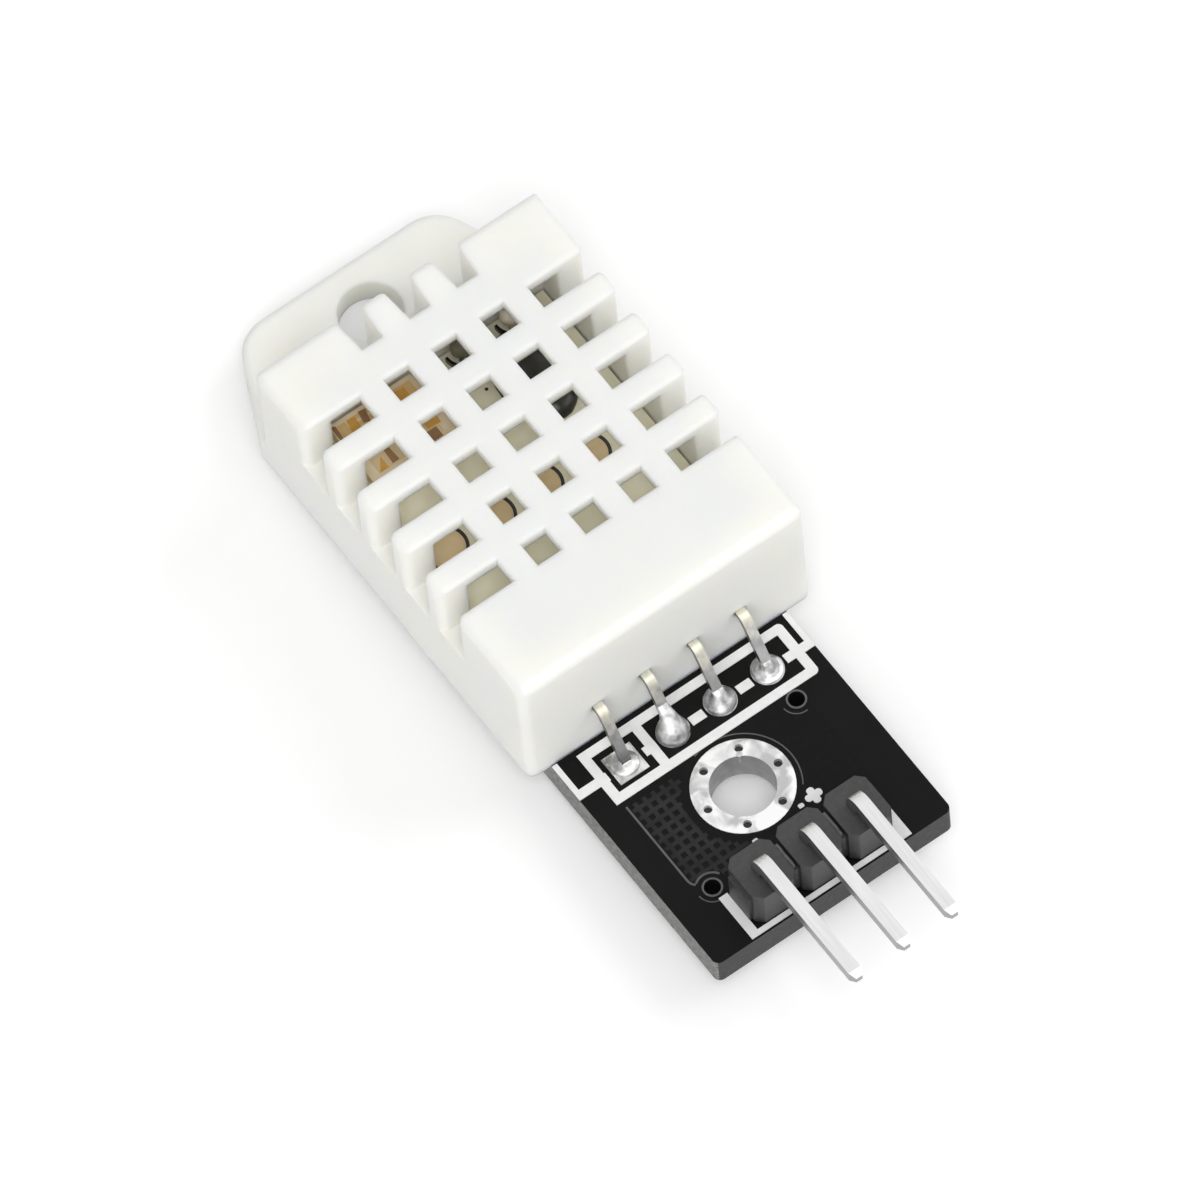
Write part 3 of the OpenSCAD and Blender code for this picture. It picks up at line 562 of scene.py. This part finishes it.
def film(bm, outline, z, thickness):
    """A flat patch: the outline at height z, raised by its thickness."""
    low = [bm.verts.new((x * mm, y * mm, z * mm)) for x, y in outline]
    high = [bm.verts.new((x * mm, y * mm, (z + thickness) * mm)) for x, y in outline]
    bm.faces.new(high)
    bm.faces.new(low[::-1])
    for i in range(len(low)):
        j = (i + 1) % len(low)
        bm.faces.new((low[i], low[j], high[j], high[i]))


def ribbon(bm, path, width, z, thickness):
    """A film that follows a path of points, with the given width."""
    left, right = [], []
    for i, (x, y) in enumerate(path):
        x0, y0 = path[max(i - 1, 0)]
        x1, y1 = path[min(i + 1, len(path) - 1)]
        length = math.hypot(x1 - x0, y1 - y0)
        across = (-(y1 - y0) / length * width / 2, (x1 - x0) / length * width / 2)
        left.append((x + across[0], y + across[1]))
        right.append((x - across[0], y - across[1]))
    film(bm, left + right[::-1], z, thickness)


print("a film of 4 corners has 6 faces, and a ribbon along n points has 2 * n + 2")

# %% Arcs, hoops and discs


def arc_path(x, y, radius, start, end, steps=24):
    angles = [math.radians(start + (end - start) * i / steps) for i in range(steps + 1)]
    return [(x + radius * math.cos(a), y + radius * math.sin(a)) for a in angles]


def hoop(bm, x, y, radius, width, z, thickness, steps=24):
    """A full ring of ribbon, in two halves that meet."""
    for start in (0, 180):
        ribbon(bm, arc_path(x, y, radius, start, start + 180, steps), width, z, thickness)


def disc(bm, x, y, radius, z, thickness, corners=24):
    film(bm, arc_path(x, y, radius, 0, 360 - 360 / corners, corners - 1), z, thickness)


print("a disc of 24 corners ends", 360 / 24, "degrees before it starts")

# %% Lathe shapes
bumps_per_mm = 2.3


def lathe(bm, rings, unevenness=0.0, segments=40):
    """A closed skin over rings of (height, radius along x, radius along y, middle x, middle y)."""
    loops = []
    for z, across_x, across_y, x, y in rings:
        loop = []
        for i in range(segments):
            a = 2 * math.pi * i / segments
            point = Vector((x + across_x * math.cos(a), y + across_y * math.sin(a), z))
            outward = Vector((math.cos(a), math.sin(a), 0.4))
            swell = unevenness * noise.noise(point * bumps_per_mm)
            loop.append(bm.verts.new((point + outward * swell) * mm))
        loops.append(loop)
    for below, above in zip(loops, loops[1:]):
        for i in range(segments):
            j = (i + 1) % segments
            bm.faces.new((below[i], below[j], above[j], above[i]))
    bm.faces.new(loops[0][::-1])
    bm.faces.new(loops[-1])


print("unevenness swells a lathe shape in bumps of about", round(1 / bumps_per_mm, 2), "mm")

# %% [markdown]
# ## The sensor's solder joints
#
# The four joints were made by hand, and no two are alike. The first is flat on its square pad, the
# second is a tall drop that has crept up the pin, the third is a round mound, and the last is low
# with a ridge. Sculpting would do it too, but a stack of rings can be read off the picture and
# written down: from the cone under the board, through the plated hole, to where the solder ends on
# the pin. The middle of the upper rings follows the pin, which leans towards the housing, and near
# the pin the rings are flattened as it is.

# %% Solder joints
joint_row = 4
joint_columns = (-3.41, -0.87, 1.67, 4.21)
hole_radius = 0.448
# under the board: height and radius of each ring
joint_feet = [(-0.7, 0.3), (-0.62, 0.37), (-0.35, 0.48), (-0.12, 0.66), (-0.05, 0.7),
              (-0.05, hole_radius), (copper_top, hole_radius)]
# over the copper: height, radius and lean towards the housing of each ring
joint_tops = [
    [(0.0, 0.66, 0.0), (0.05, 0.65, 0.0), (0.1, 0.6, 0.0), (0.13, 0.45, -0.05),
     (0.2, 0.36, -0.03), (0.27, 0.29, 0.0), (0.34, 0.25, 0.0)],
    [(0.0, 0.72, 0.0), (0.06, 0.755, -0.01), (0.18, 0.76, -0.03), (0.34, 0.72, -0.04),
     (0.55, 0.63, -0.02), (0.78, 0.51, 0.06), (1.0, 0.4, 0.2), (1.22, 0.32, 0.38),
     (1.42, 0.27, 0.56), (1.58, 0.24, 0.68)],
    [(0.0, 0.72, 0.0), (0.05, 0.73, 0.0), (0.13, 0.69, -0.01), (0.24, 0.6, -0.01),
     (0.36, 0.48, 0.0), (0.5, 0.37, 0.03), (0.66, 0.3, 0.1), (0.84, 0.26, 0.22)],
    [(0.0, 0.74, 0.0), (0.06, 0.74, 0.0), (0.1, 0.66, 0.0), (0.11, 0.58, 0.0),
     (0.17, 0.53, 0.0), (0.24, 0.45, 0.0), (0.27, 0.38, 0.0), (0.38, 0.32, 0.02),
     (0.55, 0.28, 0.06), (0.7, 0.25, 0.14)],
]
for number, (x, tops) in enumerate(zip(joint_columns, joint_tops), 1):
    rings = [(z, r, r, x, joint_row) for z, r in joint_feet]
    for height, radius, lean in tops:
        narrow = radius * (0.8 if radius < 0.3 else 1.0)
        rings.append((copper_top + height, radius, narrow, x, joint_row + lean))
    joint_mesh = bmesh.new()
    lathe(joint_mesh, rings, unevenness=0.035)
    joint = piece_from(joint_mesh, f"hand_solder_{number}", solder, smooth=True)
    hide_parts(f"sensor_solder_{number}")

# %% [markdown]
# ## Copper under the lacquer
#
# Round the ring the copper is hatched: a lattice of fine tracks under the lacquer, which shows as
# small dark squares between paler lines. A checker pattern could paint it, but the lacquer really
# lies over raised tracks, so they are laid as ribbons wherever there is copper. The tracks one way
# stand a little higher than those the other way, so that no two faces lie in the same plane. The
# lacquer is thickest at the right, where the lattice is barely seen, so the tone fades that way.

# %% Lacquer over the hatching
lacquered_copper, tree = new_material("lacquer_over_hatching")
place = add(tree, "ShaderNodeTexCoord")
spot = add(tree, "ShaderNodeSeparateXYZ", {"Vector": place.outputs["Object"]})
cloud = add(tree, "ShaderNodeTexNoise", {
    "Vector": place.outputs["Object"], "Scale": grain(1.3), "Detail": 2.0})
leftward = add(tree, "ShaderNodeMapRange", {
    "Value": spot.outputs["X"], "From Min": 0.4 * mm, "From Max": -3 * mm})
showing = add(tree, "ShaderNodeMath", {0: leftward.outputs["Result"], 1: cloud.outputs["Fac"]},
              operation="MULTIPLY")
copper_tone = add(tree, "ShaderNodeMix", {
    "Factor": showing.outputs["Value"], "A": linear("#101010"), "B": linear("#3A3A3A")},
    data_type="RGBA")
coated = add(tree, "ShaderNodeBsdfPrincipled", {
    "Base Color": copper_tone.outputs["Result"], "Roughness": 0.45, "IOR": 1.5,
    "Specular IOR Level": 0.1})
add(tree, "ShaderNodeOutputMaterial", {"Surface": coated.outputs["BSDF"]})
# grey: thin lacquer over the via rims' copper, and painted highlights on the copper's edges
thin_lacquer_and_highlight = plain_finish("thin_lacquer_and_painted_highlight", "#6A6A6A", "#484848", 0.5, 0.45,
                              sheen_level=0.2)
print(lacquered_copper.name, "and", thin_lacquer_and_highlight.name, "are ready")

# %% Hatched copper
lower_via, upper_via = (-3.95, -3.2), (4.35, 2.05)
ring_clearance, via_clearance = 2.72, 0.8
pour_left, pour_right, pour_low, pour_high = -4.6, 4.75, -3.3, 2.3
track_width, track_spacing, track_step, steps_each_way = 0.2, 0.47, 0.1, 50
height_along_x, height_along_y = 0.009, 0.006


def on_the_pour(x, y):
    clear_of_ring = math.hypot(x, y) > ring_clearance
    clear_of_vias = all(math.hypot(x - via_x, y - via_y) > via_clearance
                        for via_x, via_y in (lower_via, upper_via))
    inside = pour_left < x < pour_right and pour_low < y < pour_high
    return clear_of_ring and clear_of_vias and inside


def track(bm, fixed, along_x, height):
    """One straight track, laid only where the copper is. Runs under 0.3 mm are left out."""
    run = []
    for step in range(-steps_each_way, steps_each_way + 1):
        along = step * track_step
        x, y = (along, fixed) if along_x else (fixed, along)
        if on_the_pour(x, y):
            run.append((x, y))
        if run and not on_the_pour(x, y) or step == steps_each_way:
            if len(run) > 3:
                ribbon(bm, [run[0], run[-1]], track_width, board_top, height)
            run = []


hatching = bmesh.new()
for line in range(-10, 11):
    track(hatching, line * track_spacing, True, height_along_x)
    track(hatching, line * track_spacing, False, height_along_y)
piece_from(hatching, "hatched_copper", lacquered_copper)

# %% [markdown]
# The copper's left edge shows as a pale line that runs down the board and round the lower via, and
# fainter arcs show round both vias and the ring: painted highlights, where light catches these
# raised edges under the lacquer. They are narrow ribbons, a hair higher than the hatching so that
# they lie over it.

# %% Edges under the lacquer
edges = bmesh.new()
# painted highlights along the copper's raised edges and round the vias and the ring
ribbon(edges, [(-4.62, 2.25), (-4.62, -2.3), (-4.58, -2.5), (-4.45, -2.66)], 0.1, board_top, 0.012)
ribbon(edges, arc_path(*lower_via, 0.74, 128, 30), 0.1, board_top, 0.013)
ribbon(edges, arc_path(*lower_via, 0.7, 180, 280), 0.05, board_top, 0.013)
ribbon(edges, arc_path(*upper_via, 0.7, 182, 277), 0.05, board_top, 0.013)
ribbon(edges, arc_path(0, 0, 2.6, -35, 108), 0.06, board_top, 0.013)
piece_from(edges, "copper_edges", thin_lacquer_and_highlight)

# %% [markdown]
# ## Header ridges
#
# The header was snapped off a longer strip. On the web between its blocks stands a thin, rough
# ridge. A ribbon along a slightly wandering path makes each one, and a paler, scuffed plastic
# shows that it is broken and not moulded.

# %% Header ridges
pin_pitch = 2.54
header_middle = 0.2
web_top = 3.4
ridge_width, ridge_height, wander = 0.13, 0.3, 0.025
scuffed_plastic = plain_finish("scuffed_polyester", "#7C7C7C", "#3A3A3A", 0.2, 0.7)
ridges = bmesh.new()
for x in (header_middle - pin_pitch / 2, header_middle + pin_pitch / 2):
    broken = [(x - 0.03 + wander * noise.noise(Vector((x, y * 4, 0))), y)
              for y in (-5.4 + 0.1 * i for i in range(14))]
    ribbon(ridges, broken, ridge_width, web_top, ridge_height)
piece_from(ridges, "header_ridges", scuffed_plastic)

# %% [markdown]
# ## The plated bore
#
# The bore through the board is plated like the ring, but dull. A thin hoop of dull tin, just inside
# the bore, is simpler than a second finish on the ring's own solid, which is bright on its faces.

# %% Plated bore
# tin that froze on a drilled wall: rough, so grey and without a mirror
dull_plating = plain_finish("dull_tin_plating", "#CDCDCD", "#929292", 0.5, 0.55, metallic=1.0)
bore_radius, skin_thickness, skin_foot, skin_height = 1.494, 0.016, -0.04, 1.685
bore_skin = bmesh.new()
hoop(bore_skin, 0, 0, bore_radius, skin_thickness, skin_foot, skin_height, steps=36)
piece_from(bore_skin, "bore_plating", dull_plating)

# %% [markdown]
# Six small holes stitch the ring's two faces together. They are deep and narrow, so the shade in
# each is painted: a dark disc a little below its mouth. Near one of them a smear of solder, which
# ran while the ring was hot, hangs on the rim of the bore: a thin film with a drop under its lower
# end.

# %% Painted shade in the stitching holes, and the smear
stitch_circle, stitch_holes = 3.75 / 2, 6
shade_disc_radius, shade_disc_level, shade_disc_thickness = 0.21, 1.4, 0.03
# painted shade in the hole: nearly black and a little glassy
painted_hole_shade = plain_finish("painted_hole_shade", "#3C3C3C", "#262626", 0.3, 0.5, sheen_level=0.2)
hole_shade_discs = bmesh.new()
for number in range(stitch_holes):
    turn = math.radians(360 / stitch_holes * number)
    disc(hole_shade_discs, stitch_circle * math.cos(turn), stitch_circle * math.sin(turn),
         shade_disc_radius, shade_disc_level, shade_disc_thickness)
piece_from(hole_shade_discs, "painted_shade_in_stitching", painted_hole_shade)

smear = bmesh.new()
film(smear, [(0.78, 1.51), (0.64, 1.43), (0.63, 1.3), (0.81, 1.2), (0.91, 1.27), (0.92, 1.43)],
     copper_top, 0.04)
drop_x = 0.72
drop = [(1.25, 0.05, 1.24), (1.45, 0.09, 1.24), (1.69, 0.06, 1.26)]  # height, radius and middle y
lathe(smear, [(z, radius, radius, drop_x, y) for z, radius, y in drop], 0.03, segments=16)
piece_from(smear, "solder_smear", solder)

# %% [markdown]
# ## Vias
#
# The two vias are deep and narrow, so their barrels lie in shade, and only a thin ring of each
# stays pale. The barrel's shade is painted as a black sleeve just inside the copper, and the ring
# gets a fine rim. Both are hoops, the sleeve a tall one and the rim a flat one.

# %% Vias
sleeve_radius, sleeve_wall, sleeve_height = 0.365, 0.026, 1.655
rim_radius, rim_width, rim_thickness = 0.435, 0.07, 0.008
# painted shade in a deep hole: black, with no light on it
painted_via_shade = plain_finish("painted_via_shade", "#0E0E0E", "#060606", 0.6, 0.8, sheen_level=0.1)
via_shade_sleeves = bmesh.new()
via_rims = bmesh.new()
for x, y in (lower_via, upper_via):
    hoop(via_shade_sleeves, x, y, sleeve_radius, sleeve_wall, 0.0, sleeve_height)
    hoop(via_rims, x, y, rim_radius, rim_width, copper_top, rim_thickness)
piece_from(via_shade_sleeves, "via_shade_sleeves", painted_via_shade)
piece_from(via_rims, "via_rims", thin_lacquer_and_highlight)

# %% [markdown]
# ## Inside the housing
#
# What is seen through the grille is a few millimetres deep. The four round test pads have dark
# outlines, and a small via lies beside the ceramic plate, whose hole's shade is painted as a dark
# disc. Outlines are hoops and the via is a disc, laid on the inner board.

# %% Test pads and their outlines
inner_top = 5.56
first_pad_x, pad_row = -4.55, 15.55
outline_radius, outline_width, outline_thickness = 1.05, 0.16, 0.02
# dark brown and matt: the rings round the test pads, and the painted shade of the via's hole
dark_rings_and_hole_shade = plain_finish("dark_rings_and_hole_shade", "#3A3634", "#2A2726", 0.3, 0.5)
outlines = bmesh.new()
for number in range(4):
    hoop(outlines, first_pad_x + pin_pitch * number, pad_row, outline_radius, outline_width,
         inner_top, outline_thickness)
piece_from(outlines, "test_pad_outlines", dark_rings_and_hole_shade)
inner_via = bmesh.new()
# painted shade: the via's hole, as a flat dark disc
disc(inner_via, 1.5, 20.82, 0.085, inner_top, 0.012)
piece_from(inner_via, "inner_via", dark_rings_and_hole_shade)

# %% [markdown]
# The ceramic plate carries patches of gold and brown paste, printed and fired. Only corners of them
# show through the openings, so each is a simple outline where a corner is seen. They lie a little
# over the film that the plate already has. One thin brown strip, at the left of the top slot, is
# painted shade, cast on the plate by the slot's wall.

# %% Patches on the ceramic plate
plate_thickness, film_thickness, paste = 0.6, 0.04, 0.02
plate_top = inner_top + plate_thickness + film_thickness
# resistor and conductor pastes, printed and fired: matt brown and satin gold; the brown paints
# shade too
brown_paste_and_wall_shade = plain_finish("brown_paste_and_wall_shade", "#A88460", "#8A6642", 0.3, 0.5)
gold_paste = plain_finish("gold_paste", "#E2B05C", "#D09A44", 0.3, 0.4)
brown = bmesh.new()
film(brown, [(-2.1, 19.8), (-1.5, 19.8), (-1.5, 20.35), (-2.1, 20.35)], plate_top, paste)
film(brown, [(-4.05, 20.0), (-3.7, 20.0), (-3.75, 21.0), (-4.0, 20.9)], plate_top, paste)
film(brown, [(-3.9, 22.4), (-3.6, 22.3), (-3.45, 22.95), (-3.8, 23.0)], plate_top, paste)
disc(brown, -2.15, 22.3, 0.09, plate_top, 0.035, corners=18)
# painted shade: the slot's wall shades this thin strip of the plate
film(brown, [(-5.2, 22.3), (-5.05, 22.3), (-5.0, 23.0), (-5.2, 23.1)], plate_top, paste)
piece_from(brown, "brown_patches", brown_paste_and_wall_shade)
gold = bmesh.new()
film(gold, [(-4.75, 19.95), (-4.3, 19.95), (-4.3, 20.6)], plate_top, paste)
film(gold, [(-4.55, 22.3), (-4.1, 22.2), (-4.05, 22.9), (-4.45, 22.95)], plate_top, paste)
film(gold, [(-1.85, 20.45), (-1.2, 20.4), (-1.15, 21.0), (-1.85, 21.0)], plate_top, paste)
film(gold, [(-2.75, 21.85), (-1.5, 21.85), (-1.5, 22.8), (-2.75, 22.8)], plate_top, paste)
piece_from(gold, "gold_patches", gold_paste)

# %% [markdown]
# The controller is a bare chip under a drop of black epoxy, which set as a low dome. A squashed
# half sphere would be too lean at its shoulders, so the rings shrink more slowly than a sphere's,
# and a little unevenness leaves the drop as it was poured.

# %% Potting over the controller
low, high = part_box("controller")
middle_x, middle_y = ((a + b) / 2 / mm for a, b in zip(low[:2], high[:2]))
half_width, half_length = ((b - a) / 2 / mm for a, b in zip(low[:2], high[:2]))
dome_height = 0.8
dome_rings = []
for step in range(13):
    tilt = math.radians(90 * step / 12.5)
    shrink = math.cos(tilt) ** 0.8
    dome_rings.append((inner_top + dome_height * math.sin(tilt), half_width * shrink,
                       half_length * shrink, middle_x, middle_y))
dome = bmesh.new()
lathe(dome, dome_rings, unevenness=0.05, segments=64)
potting = piece_from(dome, "potting_dome", potting_resin, smooth=True)
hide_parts("controller")

# %% [markdown]
# The two beads at the far end were dipped in resin, one in olive and one in cream, and stand on
# two short legs. A dipped bead is a flattened drop, so its rings follow half a circle from foot to
# crown. A dark arc round the near side of each bead's foot is painted shade.

# %% Dipped beads
bead_height, bead_drop = 1.05, 0.75
bead_width, bead_depth, bead_tip = 0.88, 0.56, 0.02
leg_radius, leg_length, leg_offset = 0.12, 0.6, 0.33
shift_x, shift_y = 0.12, 0.08  # the beads don't sit straight over their legs
# painted shade at the beads' feet, and dipped resins poured smooth, so they shine most of all
painted_bead_shade = plain_finish("painted_bead_shade", "#1A1916", "#0C0B0A", 0.5, 0.3)
bead_resins = {"thermistor": plain_finish("olive_resin", "#7A7668", "#46433A", 0.9, 0.12),
               "inner_capacitor": plain_finish("cream_resin", "#F6F0E0", "#CABFA8", 0.35, 0.2)}
bead_foot_shade = bmesh.new()
for node, bead_resin in bead_resins.items():
    low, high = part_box(node)
    x, y = (low[0] + high[0]) / 2 / mm, (low[1] + high[1]) / 2 / mm
    bead_rings = []
    for step in range(17):
        turn = math.radians(180 * step / 16)
        bead_rings.append((inner_top + bead_height - bead_drop * math.cos(turn),
                           bead_tip + bead_width * math.sin(turn),
                           bead_tip + bead_depth * math.sin(turn), x + shift_x, y + shift_y))
    bead = bmesh.new()
    lathe(bead, bead_rings, unevenness=0.05)
    for side in (-leg_offset, leg_offset):
        ends = (inner_top, inner_top + leg_length)
        lathe(bead, [(z, leg_radius, leg_radius, x + side, y) for z in ends], segments=12)
    # painted shade: a dark arc at the near side of the bead's foot
    ribbon(bead_foot_shade, arc_path(x + shift_x, y + 0.35, 0.98, 178, 362), 0.13, inner_top, 0.3)
    dipped = piece_from(bead, node + "_bead", bead_resin, smooth=True)
    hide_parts(node)
piece_from(bead_foot_shade, "painted_shade_at_bead_feet", painted_bead_shade)

# %% [markdown]
# ## Floor
#
# The module leans on its sensor's pin tails and on the board's far end, so the floor is tilted a
# little to meet both, and lies a hair below them. It is white card. A brighter lamp would turn the
# card pure white but wash out the module's shadow, so the card glows a little instead, and more so
# away from the module. Only the camera's own rays see the glow, straight, by a mirror or through
# glass, so it shows in metal and adds no light to plastic. One helper finds those rays for the
# floor and for the world behind it.

# %% Floor


def background_rays(tree):
    """1 for rays from the camera, straight, by a mirror or through glass, and else 0."""
    ray = add(tree, "ShaderNodeLightPath")
    seen = add(tree, "ShaderNodeMath", {
        0: ray.outputs["Is Camera Ray"], 1: ray.outputs["Is Glossy Ray"]}, operation="MAXIMUM")
    through = add(tree, "ShaderNodeMath", {
        0: seen.outputs["Value"], 1: ray.outputs["Is Transmission Ray"]}, operation="MAXIMUM")
    return through.outputs["Value"]


tail_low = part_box("sensor_pin_1")[0]
board_low, board_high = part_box("carrier_board")
tail_row = joint_row * mm
card_reach = 2.5
hair = 0.05 * mm
rise = math.atan2(board_low[2] - tail_low[2], board_high[1] - tail_row)
floor_mesh = bpy.data.meshes.new("floor")
floor_bm = bmesh.new()
bmesh.ops.create_grid(floor_bm, x_segments=1, y_segments=1, size=card_reach)
floor_bm.to_mesh(floor_mesh)
floor_bm.free()
floor = bpy.data.objects.new("floor", floor_mesh)
floor.matrix_world = (Matrix.Translation((0, tail_row, tail_low[2] - hair))
                      @ Matrix.Rotation(rise, 4, "X"))
scene.collection.objects.link(floor)
print("floor tilted by", round(math.degrees(rise), 2), "degrees")

# %% White card
white_card, tree = new_material("white_card")
place = add(tree, "ShaderNodeTexCoord")
from_module = add(tree, "ShaderNodeVectorMath", {0: place.outputs["Object"], 1: (0, 7 * mm, 0)},
                  operation="DISTANCE")
outward = add(tree, "ShaderNodeMapRange", {
    "Value": from_module.outputs["Value"], "From Min": 12 * mm, "From Max": 42 * mm,
    "To Min": 0.2, "To Max": 0.34})
glow_level = add(tree, "ShaderNodeMath", {
    0: background_rays(tree), 1: outward.outputs["Result"]}, operation="MULTIPLY")
card = add(tree, "ShaderNodeBsdfDiffuse", {"Color": linear("#EDEDED")})
glow = add(tree, "ShaderNodeEmission", {
    "Color": (1, 1, 1, 1), "Strength": glow_level.outputs["Value"]})
card_and_glow = add(tree, "ShaderNodeAddShader", {
    0: card.outputs["BSDF"], 1: glow.outputs["Emission"]})
add(tree, "ShaderNodeOutputMaterial", {"Surface": card_and_glow.outputs["Shader"]})
floor_mesh.materials.append(white_card)
print(white_card.name, "on", floor.name)

# %% [markdown]
# ## Light
#
# A large soft box stands at the right, one in front, and one above near the camera, which reaches
# down into the grille. A pale world fills the rest, as in a light tent. The lamps' power is set so
# that the housing's face comes out just under white. Lamps alone would leave the slots black, and
# the world alone would give hardly any shadow.

# %% Light tent
world = bpy.data.worlds.new("light_tent")
scene.world = world
world.use_nodes = True
tree = world.node_tree
tree.nodes.clear()
tent_level = add(tree, "ShaderNodeMapRange", {
    "Value": background_rays(tree), "To Min": 0.44, "To Max": 1.0})
tent = add(tree, "ShaderNodeBackground", {
    "Color": (1, 1, 1, 1), "Strength": tent_level.outputs["Result"]})
add(tree, "ShaderNodeOutputWorld", {"Surface": tent.outputs["Background"]})
print("world:", world.name)

# %% Soft boxes
aim = Vector((0, 0.01, 0))


def soft_box(name, place, size, power):
    lamp = bpy.data.lights.new(name, "AREA")
    lamp.shape = "SQUARE"
    lamp.size = size
    lamp.energy = power
    holder = bpy.data.objects.new(name, lamp)
    holder.location = place
    holder.rotation_euler = (aim - Vector(place)).to_track_quat("-Z", "Y").to_euler()
    scene.collection.objects.link(holder)
    print(name, "gives", power, "W at", round((aim - Vector(place)).length, 2), "m")


soft_box("soft_box_right", (0.45, -0.08, 0.4), 0.4, 1.15)
soft_box("soft_box_front", (-0.45, -0.5, 0.3), 0.4, 1.15)
soft_box("soft_box_above", (-0.144, -0.246, 0.53), 0.25, 1.3)
